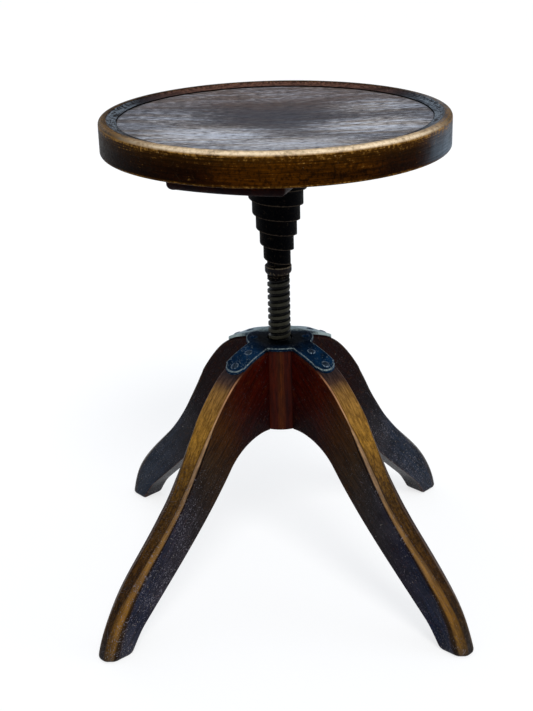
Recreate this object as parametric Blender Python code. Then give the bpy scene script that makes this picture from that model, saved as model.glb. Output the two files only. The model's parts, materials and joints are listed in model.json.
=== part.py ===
"""Adjustable stool: a round sprung seat on a lifting screw, over four sawn and curved legs.

Units are metres and +Z is up. The origin is on the floor, under the screw's axis, and the
front of the stool faces -Y. The screw turns in a nut held in the post: one turn lifts the
seat by one thread pitch. Under a sitter the seat sinks on a volute spring, guided by a
sleeve and a cross pin that also turns the screw with the seat.
"""

import math

import bmesh
import bpy
from mathutils import Matrix, Vector

# Gaps between pieces
FIT = 0.0003
RUN = 0.0004
STOP_GAP = 0.001
MERGE = 0.000005

# Stand: legs, post and dowels
STAND_HEIGHT = 0.2708
LEG_COUNT = 4
LEG_THICKNESS = 0.027
LEG_REACH = 0.2626
LEG_STEPS = 9
EDGE_AT_TOP = 0.0008
EDGE_AT_FOOT = 0.0076
EDGE_STOP_SHARE = 0.29
POST_RADIUS = 0.0334
POST_BORE = 0.018
POST_ARC_STEPS = 8
DOWEL_RADIUS = 0.005
DOWEL_IN_POST = 0.0095
DOWEL_IN_LEG = 0.030
DOWEL_FROM_TOP = 0.034
DOWEL_FROM_BOTTOM = 0.024

# The leg's edges as shares of its reach and height: (out, up, direction in degrees)
LEG_TOP_EDGE = ((0.0, 1.0, 0.0), (0.389, 0.723, -53.4), (0.57, 0.479, -45.0), (1.0, 0.0, -76.0))
LEG_UNDER_EDGE = ((0.0, 0.668, 4.4), (0.246, 0.573, -48.0), (0.786, 0.104, -38.7), (0.868, 0.0, -61.8))
SHOULDER_DROP = 0.0023
SHOULDER_SHARE = 0.24

# Iron plate over the post and the legs, and its screws
PLATE_RADIUS = 0.0354
PLATE_THICKNESS = 0.0035
PLATE_BORE = 0.0133
PLATE_ARC_STEPS = 6
ARM_SHOULDER = 0.0656
ARM_TIP = 0.0725
TONGUE_STEP = 0.0018
ARM_SCREWS_OUT = (0.046, 0.066)
HUB_SCREWS_OUT = 0.0275
HUB_SCREW_COUNT = 2
SCREW_RADIUS = 0.002
SCREW_HEAD_RADIUS = 0.0043
SCREW_HEAD_HEIGHT = 0.0016
ARM_SCREW_LENGTH = 0.020
HUB_SCREW_LENGTH = 0.024

# Lifting screw, its nut and its stops
SPINDLE_RADIUS = 0.0118
THREAD_PITCH = 0.0072
THREAD_DEPTH = 0.0019
THREAD_STEPS = 16
TURNS_DOWN = 9
TURNS_UP = 6
RELIEF_DEPTH = 0.001
SHANK_RADIUS = 0.007
NUT_LENGTH = 0.038
NUT_FLANGE_RADIUS = 0.023
NUT_FLANGE_THICKNESS = 0.005
THRUST_WASHER_RADIUS = 0.0116
THRUST_WASHER_THICKNESS = 0.0033
STOP_WASHER_RADIUS = 0.0165
STOP_WASHER_THICKNESS = 0.003
STOP_SCREW_RADIUS = 0.003
STOP_SCREW_LENGTH = 0.020
STOP_SCREW_HEAD_RADIUS = 0.006
STOP_SCREW_HEAD_HEIGHT = 0.0035
COLLAR_RADIUS = 0.0139
COLLAR_HEIGHT = 0.0102
COLLAR_TAPER = 0.0027

# Volute spring: a strip wound upwards and outwards
SPRING_LENGTH = 0.1069
SPRING_TURNS = 6.66
SPRING_SMALL_RADIUS = 0.0107
SPRING_GROWTH = 0.0035
STRIP_WIDTH = 0.0215
STRIP_THICKNESS = 0.0026
SPRING_START = 248.0
SPRING_STEPS_PER_TURN = 24

# Seat: iron guide plate, bearer board, panel and hoop
SPRING_TRAVEL = 0.025
GUIDE_PLATE_EDGE = 0.002
GUIDE_PLATE_THICKNESS = 0.004
GUIDE_SCREWS_FROM_SPRING = 0.0025
GUIDE_SCREW_COUNT = 4
GUIDE_SCREW_LENGTH = 0.018
SLEEVE_RADIUS = 0.011
SLEEVE_LENGTH = 0.061
PIN_RADIUS = 0.003
PIN_LENGTH = 0.021
PIN_FROM_SLEEVE_END = 0.012
BEARER_FROM_HOOP = 0.004
BEARER_WIDTH = 0.115
BEARER_THICKNESS = 0.028
BEARER_END_ROUND = 0.006
BEARER_EDGE_ROUND = 0.006
BEARER_AZIMUTH = 251.0
BEARER_BORE = 0.009
BEARER_SCREWS_FROM_ENDS = 0.034
BEARER_SCREWS_FROM_SIDES = 0.022
BEARER_SCREW_BITE = 0.005
PANEL_LEDGE = 0.0035
LIP_COVER = 0.0058
PANEL_THICKNESS = 0.0138
PANEL_DISH = 0.005
PANEL_LAND = 0.010
SEAT_RADIUS = 0.174
HOOP_HEIGHT = 0.0325
HOOP_WALL = 0.016
RIM_RISE = 0.0045
RIM_BAND_SHARE = 0.44
RIM_ROUND = 0.0045
RIM_STEP = 0.0012
HOOP_FOOT_ROUND = 0.002
SEAT_SEGMENTS = 80

# One pitch of the thread: (share of the pitch, share of the depth above the root)
THREAD_PROFILE = ((0.0, 0.0), (0.22, 0.0), (0.42, 1.0), (0.80, 1.0))

# Facets of the small round pieces
ROUND = 32
SMALL_ROUND = 12


def leg_azimuths():
    return [math.tau * (index + 0.5) / LEG_COUNT for index in range(LEG_COUNT)]


def post_face():
    """Distance from the axis to the flats where the legs meet the post."""
    return math.sqrt(POST_RADIUS**2 - (LEG_THICKNESS / 2) ** 2)


LEG_START = post_face() + FIT
THREAD_ROOT = SPINDLE_RADIUS - THREAD_DEPTH
RELIEF_RADIUS = THREAD_ROOT - RELIEF_DEPTH
POST_BOTTOM = STAND_HEIGHT * LEG_UNDER_EDGE[0][1]
PLATE_BOTTOM = STAND_HEIGHT + FIT
PLATE_TOP = PLATE_BOTTOM + PLATE_THICKNESS
NUT_BOTTOM = STAND_HEIGHT - NUT_LENGTH
SPINDLE_BOTTOM = NUT_BOTTOM - TURNS_UP * THREAD_PITCH - STOP_GAP
THRUST_WASHER_BOTTOM = PLATE_TOP + TURNS_DOWN * THREAD_PITCH + STOP_GAP
THREAD_TOP = THRUST_WASHER_BOTTOM - FIT
COLLAR_BOTTOM = THRUST_WASHER_BOTTOM + THRUST_WASHER_THICKNESS + FIT
SPRING_BOTTOM = COLLAR_BOTTOM + COLLAR_HEIGHT + FIT
GUIDE_PLATE_BOTTOM = SPRING_BOTTOM + SPRING_LENGTH + FIT
BEARER_BOTTOM = GUIDE_PLATE_BOTTOM + GUIDE_PLATE_THICKNESS + FIT
PANEL_BOTTOM = BEARER_BOTTOM + BEARER_THICKNESS + FIT
PANEL_TOP = PANEL_BOTTOM + PANEL_THICKNESS
SEAT_TOP = PANEL_TOP + RIM_RISE
SLEEVE_BOTTOM = GUIDE_PLATE_BOTTOM - SLEEVE_LENGTH
PIN_HEIGHT = SLEEVE_BOTTOM + PIN_FROM_SLEEVE_END
SHANK_TOP = PANEL_BOTTOM - SPRING_TRAVEL - STOP_GAP
SPRING_LARGE_RADIUS = SPRING_SMALL_RADIUS + SPRING_GROWTH * SPRING_TURNS
GUIDE_SCREWS_OUT = SPRING_LARGE_RADIUS + GUIDE_SCREWS_FROM_SPRING + SCREW_HEAD_RADIUS
GUIDE_PLATE_RADIUS = GUIDE_SCREWS_OUT + SCREW_HEAD_RADIUS + GUIDE_PLATE_EDGE
HOOP_INSIDE = SEAT_RADIUS - HOOP_WALL
PANEL_RADIUS = HOOP_INSIDE + PANEL_LEDGE
BEARER_CORNER = math.sqrt((HOOP_INSIDE - BEARER_FROM_HOOP) ** 2 - (BEARER_WIDTH / 2) ** 2)
BEARER_LENGTH = 2 * (BEARER_CORNER + BEARER_END_ROUND)


def clear_scene():
    for obj in list(bpy.data.objects):
        bpy.data.objects.remove(obj, do_unlink=True)


def finish(name, color, roughness, metallic):
    """A plain Principled material."""
    material = bpy.data.materials.new(name)
    material.use_nodes = True
    shader = material.node_tree.nodes["Principled BSDF"]
    shader.inputs["Base Color"].default_value = (*color, 1.0)
    shader.inputs["Roughness"].default_value = roughness
    shader.inputs["Metallic"].default_value = metallic
    return material


def empty(name, parent=None):
    obj = bpy.data.objects.new(name, None)
    bpy.context.collection.objects.link(obj)
    obj.parent = parent
    return obj


def mesh_from(shape, name):
    """Turns a bmesh into a mesh with smooth round faces and sharp corners."""
    mesh = bpy.data.meshes.new(name)
    shape.to_mesh(mesh)
    shape.free()
    mesh.shade_smooth()
    mesh.set_sharp_from_angle(angle=math.radians(35))
    return mesh


def place(name, mesh, material, parent, matrix=None):
    """Adds a named piece to the scene under the empty that it moves with."""
    obj = bpy.data.objects.new(name, mesh)
    mesh.materials.clear()
    mesh.materials.append(material)
    bpy.context.collection.objects.link(obj)
    obj.parent = parent
    obj.matrix_local = matrix or Matrix()
    return obj


def spun(outline, segments):
    """Turns an outline of (radius, height) about Z. One that starts on the axis ends there too."""
    shape = bmesh.new()
    points = [shape.verts.new((radius, 0.0, height)) for radius, height in outline]
    edges = [shape.edges.new(pair) for pair in zip(points, points[1:])]
    if outline[0][0] > 0:
        edges.append(shape.edges.new((points[-1], points[0])))
    bmesh.ops.spin(
        shape, geom=points + edges, cent=(0, 0, 0), axis=(0, 0, 1),
        angle=math.tau, steps=segments, use_merge=True,
    )
    bmesh.ops.remove_doubles(shape, verts=shape.verts, dist=MERGE)
    bmesh.ops.recalc_face_normals(shape, faces=shape.faces)
    return shape


def lofted(rings):
    """Skins a row of rings of equal count, and closes both ends."""
    shape = bmesh.new()
    rows = [[shape.verts.new(point) for point in ring] for ring in rings]
    for low, high in zip(rows, rows[1:]):
        for index in range(len(low)):
            shape.faces.new((low[index - 1], low[index], high[index], high[index - 1]))
    shape.faces.new(rows[0])
    shape.faces.new(rows[-1])
    bmesh.ops.recalc_face_normals(shape, faces=shape.faces)
    return shape


def rod(start, end, radius, segments=SMALL_ROUND):
    """A round bar between two points."""
    start, end = Vector(start), Vector(end)
    along = end - start
    turn = along.to_track_quat("Z", "Y").to_matrix().to_4x4()
    shape = bmesh.new()
    bmesh.ops.create_cone(
        shape, cap_ends=True, segments=segments, radius1=radius, radius2=radius,
        depth=along.length, matrix=Matrix.Translation((start + end) / 2) @ turn,
    )
    return shape


def cut(mesh, cutters, operation="DIFFERENCE"):
    """Takes the cutters' shapes out of a mesh with Booleans, or keeps only what they share."""
    piece = bpy.data.objects.new("piece", mesh)
    bpy.context.collection.objects.link(piece)
    tools = []
    for shape in cutters:
        tool = bpy.data.objects.new("cutter", mesh_from(shape, "cutter"))
        bpy.context.collection.objects.link(tool)
        step = piece.modifiers.new("cut", "BOOLEAN")
        step.operation = operation
        step.solver = "EXACT"
        step.object = tool
        tools.append(tool)
    graph = bpy.context.evaluated_depsgraph_get()
    result = bpy.data.meshes.new_from_object(piece.evaluated_get(graph))
    result.name = mesh.name
    for obj in (piece, *tools):
        bpy.data.objects.remove(obj, do_unlink=True)
    return result


def pattern_edge(knots, drop=0.0):
    """Points (out, up) along one edge of the leg: cubic curves between the pattern's knots.

    A drop flattens the shoulder by 6.75 w (1 - w)^2 of it, w being the share of the shoulder's reach.
    """
    reach = LEG_REACH - LEG_START
    points = []
    for (u0, v0, a0), (u1, v1, a1) in zip(knots, knots[1:]):
        length = math.hypot(u1 - u0, v1 - v0)
        for step in range(LEG_STEPS + (u1 == knots[-1][0])):
            t = step / LEG_STEPS
            start, end = 2 * t**3 - 3 * t**2 + 1, 3 * t**2 - 2 * t**3
            leave, arrive = (t**3 - 2 * t**2 + t) * length, (t**3 - t**2) * length
            u = start * u0 + end * u1
            u += leave * math.cos(math.radians(a0)) + arrive * math.cos(math.radians(a1))
            v = start * v0 + end * v1
            v += leave * math.sin(math.radians(a0)) + arrive * math.sin(math.radians(a1))
            w = min(1.0, u / SHOULDER_SHARE)
            points.append((LEG_START + reach * u, STAND_HEIGHT * v - drop * 6.75 * w * (1 - w) ** 2))
    return points


def leg_top(out):
    """Height and slope of the leg's top edge at a distance from the axis."""
    edge = pattern_edge(LEG_TOP_EDGE, SHOULDER_DROP)
    if out <= edge[0][0]:
        return STAND_HEIGHT, 0.0
    for (r0, z0), (r1, z1) in zip(edge, edge[1:]):
        if out <= r1:
            slope = (z1 - z0) / (r1 - r0)
            return z0 + slope * (out - r0), slope
    raise ValueError("the leg's top edge ends before this distance")


def leg_mesh():
    """One leg along +X: a sawn board with an S-curve, its outer corners chamfered wider to the foot."""
    half = LEG_THICKNESS / 2
    stations = list(zip(pattern_edge(LEG_TOP_EDGE, SHOULDER_DROP), pattern_edge(LEG_UNDER_EDGE)))
    rings = []
    for index, (top, under) in enumerate(stations):
        share = index / (len(stations) - 1)
        growth = math.sqrt(max(0.0, (share - EDGE_STOP_SHARE) / (1 - EDGE_STOP_SHARE)))
        edge = EDGE_AT_TOP + (EDGE_AT_FOOT - EDGE_AT_TOP) * growth
        across = math.dist(top, under)
        inner = [outer + (lower - outer) * edge / across for outer, lower in zip(top, under)]
        rings.append([
            (top[0], edge - half, top[1]),
            (top[0], half - edge, top[1]),
            (inner[0], half, inner[1]),
            (under[0], half, under[1]),
            (under[0], -half, under[1]),
            (inner[0], -half, inner[1]),
        ])
    holes = [rod(start, end, DOWEL_RADIUS + FIT) for start, end in dowel_ends(FIT)]
    for out in ARM_SCREWS_OUT:
        seat, along = arm_screw_seat(out)
        holes.append(rod(seat, seat - along * (ARM_SCREW_LENGTH + 2 * FIT), SCREW_RADIUS + RUN))
    return cut(mesh_from(lofted(rings), "leg"), holes)


def dowel_ends(extra=0.0):
    """Both ends of the two dowels in the leg at azimuth 0, lengthened at the ends by extra."""
    start = post_face() - DOWEL_IN_POST - extra
    end = LEG_START + DOWEL_IN_LEG + extra
    heights = (POST_BOTTOM + DOWEL_FROM_BOTTOM, STAND_HEIGHT - DOWEL_FROM_TOP)
    return [((start, 0.0, height), (end, 0.0, height)) for height in heights]


def arm_screw_seat(out):
    """Where an arm screw's head sits on the plate, and the direction that its head faces."""
    height, slope = leg_top(out)
    along = Vector((-slope, 0.0, 1.0)).normalized()
    return Vector((out, 0.0, height + FIT + PLATE_THICKNESS)) + along * FIT, along


def post_mesh():
    """A turned post with four flats for the legs, bored for the screw and recessed for the nut."""
    half_flat = math.asin(LEG_THICKNESS / 2 / POST_RADIUS)
    outline = []
    for azimuth in leg_azimuths():
        span = math.tau / LEG_COUNT - 2 * half_flat
        for step in range(POST_ARC_STEPS + 1):
            angle = azimuth + half_flat + span * step / POST_ARC_STEPS
            outline.append((POST_RADIUS * math.cos(angle), POST_RADIUS * math.sin(angle)))
    rings = [[(x, y, z) for x, y in outline] for z in (POST_BOTTOM, STAND_HEIGHT)]
    past = POST_RADIUS
    flange_floor = STAND_HEIGHT - NUT_FLANGE_THICKNESS - 2 * FIT
    holes = [
        rod((0, 0, POST_BOTTOM - past), (0, 0, STAND_HEIGHT + past), POST_BORE, ROUND),
        rod((0, 0, flange_floor), (0, 0, STAND_HEIGHT + past), NUT_FLANGE_RADIUS + RUN, ROUND),
    ]
    for azimuth in leg_azimuths():
        turn = Matrix.Rotation(azimuth, 4, "Z")
        for start, end in dowel_ends(FIT):
            holes.append(rod(turn @ Vector(start), turn @ Vector(end), DOWEL_RADIUS + FIT))
    for x, y in hub_screw_places():
        top = PLATE_TOP + FIT
        holes.append(rod((x, y, top), (x, y, top - HUB_SCREW_LENGTH - 2 * FIT), SCREW_RADIUS + RUN))
    return cut(mesh_from(lofted(rings), "hub_post"), holes)


def hub_screw_places():
    angles = [math.tau * index / HUB_SCREW_COUNT for index in range(HUB_SCREW_COUNT)]
    return [(HUB_SCREWS_OUT * math.cos(a), HUB_SCREWS_OUT * math.sin(a)) for a in angles]


def arm_stations():
    """(distance out, half width) along one arm: full width to the shoulders, then a round tongue."""
    half = LEG_THICKNESS / 2
    tongue = half - TONGUE_STEP
    edge = [point[0] for point in pattern_edge(LEG_TOP_EDGE)]
    stations = [(out, half) for out in edge if PLATE_RADIUS < out < ARM_SHOULDER - FIT]
    stations += [(ARM_SHOULDER, half), (ARM_SHOULDER + FIT, tongue)]
    for share in (0.35, 0.62, 0.82, 0.95):
        out = ARM_SHOULDER + (ARM_TIP - ARM_SHOULDER) * share
        stations.append((out, tongue * math.sqrt(1 - share**2)))
    return stations


def plate_mesh():
    """A round hub with four arms bent down over the legs: a sheet given its thickness upwards."""
    shape = bmesh.new()
    half_arm = math.asin(LEG_THICKNESS / 2 / PLATE_RADIUS)
    span = math.tau / LEG_COUNT - 2 * half_arm
    rim, bore = [], []
    for azimuth in leg_azimuths():
        for step in range(PLATE_ARC_STEPS + 1):
            angle = azimuth + half_arm + span * step / PLATE_ARC_STEPS
            way = Vector((math.cos(angle), math.sin(angle), 0))
            rim.append(shape.verts.new(way * PLATE_RADIUS + Vector((0, 0, PLATE_BOTTOM))))
            bore.append(shape.verts.new(way * PLATE_BORE + Vector((0, 0, PLATE_BOTTOM))))
    for index in range(len(rim)):
        shape.faces.new((bore[index - 1], rim[index - 1], rim[index], bore[index]))
    for index, azimuth in enumerate(leg_azimuths()):
        turn = Matrix.Rotation(azimuth, 4, "Z")
        left = index * (PLATE_ARC_STEPS + 1)
        last = (rim[left - 1], rim[left])
        for out, half in arm_stations():
            height = leg_top(out)[0] + FIT
            row = [shape.verts.new(turn @ Vector((out, side * half, height))) for side in (-1, 1)]
            shape.faces.new((last[0], row[0], row[1], last[1]))
            last = row
    sheet = bmesh.ops.extrude_face_region(shape, geom=list(shape.faces))
    raised = [item for item in sheet["geom"] if isinstance(item, bmesh.types.BMVert)]
    bmesh.ops.translate(shape, verts=raised, vec=(0, 0, PLATE_THICKNESS))
    bmesh.ops.recalc_face_normals(shape, faces=shape.faces)
    holes = []
    for azimuth in leg_azimuths():
        turn = Matrix.Rotation(azimuth, 4, "Z")
        for out in ARM_SCREWS_OUT:
            seat, along = arm_screw_seat(out)
            reach = along * 2 * PLATE_THICKNESS
            holes.append(rod(turn @ (seat + reach), turn @ (seat - reach), SCREW_RADIUS + RUN))
    for x, y in hub_screw_places():
        past = PLATE_THICKNESS
        holes.append(rod((x, y, PLATE_BOTTOM - past), (x, y, PLATE_TOP + past), SCREW_RADIUS + RUN))
    return cut(mesh_from(shape, "spider_plate"), holes)


def screw_mesh(length, radius=SCREW_RADIUS, head=SCREW_HEAD_RADIUS, height=SCREW_HEAD_HEIGHT):
    """A wood screw with its head's underside at the origin and its point down."""
    outline = [
        (0.0, height), (head * 0.6, height), (head, height * 0.4), (head, 0.0),
        (radius, 0.0), (radius, -length + 2 * radius), (0.0, -length),
    ]
    return mesh_from(spun(outline, SMALL_ROUND), "screw")


def nut_mesh():
    """A flanged sleeve nut. Its bore is plain here, clear of the screw's crests."""
    bore = SPINDLE_RADIUS + RUN
    barrel = POST_BORE - FIT
    flange_bottom = STAND_HEIGHT - NUT_FLANGE_THICKNESS
    outline = [
        (bore, NUT_BOTTOM), (barrel, NUT_BOTTOM), (barrel, flange_bottom),
        (NUT_FLANGE_RADIUS, flange_bottom), (NUT_FLANGE_RADIUS, STAND_HEIGHT), (bore, STAND_HEIGHT),
    ]
    return mesh_from(spun(outline, ROUND), "spindle_nut")


def threaded_bar(bottom, top):
    """A right-handed screw thread that runs past both heights by a pitch or more.

    A column of points stands at each step round the axis, raised by its share of the pitch.
    The last column meets the first one a whole pitch higher, so the ridge is one helix.
    """
    turns = math.ceil((top - bottom) / THREAD_PITCH) + 3
    shape = bmesh.new()
    columns = []
    for step in range(THREAD_STEPS):
        angle = math.tau * step / THREAD_STEPS
        column = []
        for turn in range(turns):
            for along, share in THREAD_PROFILE:
                radius = THREAD_ROOT + THREAD_DEPTH * share
                height = bottom + THREAD_PITCH * (turn - 2 + along + step / THREAD_STEPS)
                column.append(shape.verts.new((radius * math.cos(angle), radius * math.sin(angle), height)))
        columns.append(column)
    columns.append(columns[0][len(THREAD_PROFILE):])
    for near, far in zip(columns, columns[1:]):
        for index in range(min(len(near), len(far)) - 1):
            shape.faces.new((near[index], far[index], far[index + 1], near[index + 1]))
    ends = [edge for edge in shape.edges if edge.is_boundary]
    middle = (bottom + top) / 2
    for height, is_low in ((bottom - THREAD_PITCH, True), (top + THREAD_PITCH, False)):
        centre = shape.verts.new((0, 0, height))
        for edge in ends:
            if (edge.verts[0].co.z < middle) == is_low:
                shape.faces.new((*edge.verts, centre))
    bmesh.ops.recalc_face_normals(shape, faces=shape.faces)
    return shape


def spindle_mesh():
    """The lifting screw: tapped foot, threaded length, relief for the washer, plain shank with a pin hole.

    A threaded bar is kept only inside a turned outline, which chamfers both ends of the thread.
    """
    shoulder = COLLAR_BOTTOM - FIT
    clear = SPINDLE_RADIUS + STOP_GAP
    lead = clear - THREAD_ROOT
    tapped = STOP_SCREW_RADIUS + FIT
    tapped_top = SPINDLE_BOTTOM + STOP_SCREW_LENGTH
    outline = [
        (0.0, tapped_top), (tapped, tapped_top), (tapped, SPINDLE_BOTTOM),
        (THREAD_ROOT, SPINDLE_BOTTOM), (clear, SPINDLE_BOTTOM + lead),
        (clear, THREAD_TOP - lead / 2), (THREAD_ROOT, THREAD_TOP),
        (RELIEF_RADIUS, THREAD_TOP), (RELIEF_RADIUS, shoulder), (SHANK_RADIUS, shoulder),
        (SHANK_RADIUS, SHANK_TOP - FIT), (SHANK_RADIUS - FIT, SHANK_TOP), (0.0, SHANK_TOP),
    ]
    bar = mesh_from(threaded_bar(SPINDLE_BOTTOM, SHANK_TOP), "spindle")
    turned = cut(bar, [spun(outline, ROUND)], "INTERSECT")
    across = (2 * SHANK_RADIUS, 0, PIN_HEIGHT)
    hole = rod(across, (-across[0], 0, PIN_HEIGHT), PIN_RADIUS + FIT)
    return cut(turned, [hole])


def washer_mesh(name, inner, outer, bottom, thickness):
    ease = thickness / 6
    outline = [
        (inner, bottom), (outer - ease, bottom), (outer, bottom + ease),
        (outer, bottom + thickness - ease), (outer - ease, bottom + thickness), (inner, bottom + thickness),
    ]
    return mesh_from(spun(outline, ROUND), name)


def collar_mesh():
    """The collar on the screw's shoulder that carries the spring's small end."""
    top = COLLAR_BOTTOM + COLLAR_HEIGHT
    ease = COLLAR_TAPER / 4
    bore = SHANK_RADIUS + FIT
    outline = [
        (bore, COLLAR_BOTTOM), (COLLAR_RADIUS - COLLAR_TAPER, COLLAR_BOTTOM),
        (COLLAR_RADIUS - COLLAR_TAPER / 3, COLLAR_BOTTOM + COLLAR_TAPER / 3),
        (COLLAR_RADIUS, COLLAR_BOTTOM + COLLAR_TAPER), (COLLAR_RADIUS, top - ease),
        (COLLAR_RADIUS - ease, top), (bore, top),
    ]
    return mesh_from(spun(outline, ROUND), "spring_collar")


def spring_section(share):
    """Angle, middle radius and both edge heights of the strip at a share of its winding.

    The strip winds clockwise as it climbs. Its edges are ground flat where they meet the
    collar and the guide plate, so it starts and ends at half width.
    """
    turn = SPRING_TURNS * share
    angle = math.radians(SPRING_START) - math.tau * turn
    radius = SPRING_SMALL_RADIUS + SPRING_GROWTH * turn - STRIP_THICKNESS / 2
    middle = SPRING_LENGTH * share
    low = max(0.0, middle - STRIP_WIDTH / 2)
    high = min(SPRING_LENGTH, middle + STRIP_WIDTH / 2)
    return angle, radius, SPRING_BOTTOM + low, SPRING_BOTTOM + high


def spring_mesh():
    steps = round(SPRING_TURNS * SPRING_STEPS_PER_TURN)
    rings = []
    for step in range(steps + 1):
        angle, radius, low, high = spring_section(step / steps)
        corners = []
        for side, height in ((1, low), (1, high), (-1, high), (-1, low)):
            reach = radius + side * STRIP_THICKNESS / 2
            corners.append((reach * math.cos(angle), reach * math.sin(angle), height))
        rings.append(corners)
    half_turn = SPRING_STEPS_PER_TURN // 2
    gap = min(
        math.dist(ring[0][:2], other[3][:2])
        for index, ring in enumerate(rings)
        for other in rings[index + half_turn:index + 3 * half_turn]
    )
    print(f"volute spring: least gap between turns {gap * 1000:.2f} mm, measured on its points")
    return mesh_from(lofted(rings), "volute_spring")


def guide_screw_places():
    angles = [math.tau * (index + 0.5) / GUIDE_SCREW_COUNT for index in range(GUIDE_SCREW_COUNT)]
    angles = [math.radians(BEARER_AZIMUTH) + angle for angle in angles]
    return [(GUIDE_SCREWS_OUT * math.cos(a), GUIDE_SCREWS_OUT * math.sin(a)) for a in angles]


def guide_mesh():
    """The iron plate under the seat, with a slotted sleeve that slides on the screw's shank."""
    bore = SHANK_RADIUS + RUN
    fillet = SLEEVE_RADIUS / 4
    top = GUIDE_PLATE_BOTTOM + GUIDE_PLATE_THICKNESS
    outline = [
        (bore, SLEEVE_BOTTOM), (SLEEVE_RADIUS, SLEEVE_BOTTOM),
        (SLEEVE_RADIUS, GUIDE_PLATE_BOTTOM - fillet), (SLEEVE_RADIUS + fillet, GUIDE_PLATE_BOTTOM),
        (GUIDE_PLATE_RADIUS, GUIDE_PLATE_BOTTOM), (GUIDE_PLATE_RADIUS, top), (bore, top),
    ]
    slot_half = PIN_RADIUS + FIT
    slot_reach = 2 * SLEEVE_RADIUS
    slot = [
        [(x, y, z) for y, z in slot_outline(slot_half)] for x in (-slot_reach, slot_reach)
    ]
    past = GUIDE_PLATE_THICKNESS
    holes = [lofted(slot)]
    for x, y in guide_screw_places():
        start, end = (x, y, GUIDE_PLATE_BOTTOM - past), (x, y, top + past)
        holes.append(rod(start, end, SCREW_RADIUS + RUN))
    return cut(mesh_from(spun(outline, ROUND), "seat_guide"), holes)


def slot_outline(half, steps=6):
    """(across, height) round the sleeve's slot: two half circles, a spring's travel apart."""
    points = []
    for height, start in ((PIN_HEIGHT + SPRING_TRAVEL, 0.0), (PIN_HEIGHT, math.pi)):
        for step in range(steps + 1):
            angle = start + math.pi * step / steps
            points.append((half * math.cos(angle), height + half * math.sin(angle)))
    return points


def bearer_outline(steps=8):
    """Plan of the bearer along +X: straight sides and slightly round ends."""
    half_length, half_width = BEARER_LENGTH / 2, BEARER_WIDTH / 2
    points = []
    for side in (1, -1):
        for step in range(steps + 1):
            across = 2 * step / steps - 1
            out = half_length - BEARER_END_ROUND * across**2
            points.append((side * out, side * across * half_width))
    return points


def bearer_screw_places():
    along = BEARER_CORNER - BEARER_SCREWS_FROM_ENDS
    across = BEARER_WIDTH / 2 - BEARER_SCREWS_FROM_SIDES
    turn = Matrix.Rotation(math.radians(BEARER_AZIMUTH), 4, "Z")
    places = [turn @ Vector((a * along, b * across, 0)) for a in (-1, 1) for b in (-1, 1)]
    return [(spot.x, spot.y) for spot in places]


def bearer_mesh():
    """The board across the seat's grain, its lower edge rounded over, bored for the shank."""
    turn = Matrix.Rotation(math.radians(BEARER_AZIMUTH), 4, "Z")
    rings = []
    for step in range(4):
        angle = math.pi / 2 * step / 3
        inset = BEARER_EDGE_ROUND * (1 - math.sin(angle))
        rise = BEARER_EDGE_ROUND * (1 - math.cos(angle))
        rings.append(bearer_ring(inset, BEARER_BOTTOM + rise))
    rings.append(bearer_ring(0.0, BEARER_BOTTOM + BEARER_THICKNESS))
    shape = lofted([[turn @ Vector(point) for point in ring] for ring in rings])
    past = BEARER_THICKNESS
    top = BEARER_BOTTOM + BEARER_THICKNESS
    holes = [rod((0, 0, BEARER_BOTTOM - past), (0, 0, top + past), BEARER_BORE, ROUND)]
    for x, y in guide_screw_places():
        end = BEARER_BOTTOM + GUIDE_SCREW_LENGTH
        holes.append(rod((x, y, BEARER_BOTTOM - past), (x, y, end), SCREW_RADIUS + RUN))
    for x, y in bearer_screw_places():
        holes.append(rod((x, y, BEARER_BOTTOM - past), (x, y, top + past), SCREW_RADIUS + RUN))
    return cut(mesh_from(shape, "bearer_board"), holes)


def bearer_ring(inset, height):
    """The bearer's plan drawn in by inset, at a height."""
    length_share = 1 - 2 * inset / BEARER_LENGTH
    width_share = 1 - 2 * inset / BEARER_WIDTH
    return [(x * length_share, y * width_share, height) for x, y in bearer_outline()]


def panel_mesh():
    """The dished round panel: flat at its edge, hollowed towards the middle."""
    dish_radius = PANEL_RADIUS - PANEL_LAND
    outline = [(0.0, PANEL_TOP - PANEL_DISH)]
    for share in (0.3, 0.55, 0.75, 0.9, 1.0):
        depth = PANEL_DISH * (1 - share**2) ** 2
        outline.append((dish_radius * share, PANEL_TOP - depth))
    outline += [
        (PANEL_RADIUS, PANEL_TOP), (PANEL_RADIUS, PANEL_BOTTOM),
        (BEARER_LENGTH / 3, PANEL_BOTTOM), (0.0, PANEL_BOTTOM),
    ]
    holes = []
    for x, y in bearer_screw_places():
        start, end = (x, y, PANEL_BOTTOM - PANEL_THICKNESS), (x, y, PANEL_BOTTOM + BEARER_SCREW_BITE + FIT)
        holes.append(rod(start, end, SCREW_RADIUS + RUN))
    return cut(mesh_from(spun(outline, SEAT_SEGMENTS), "seat_panel"), holes)


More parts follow.
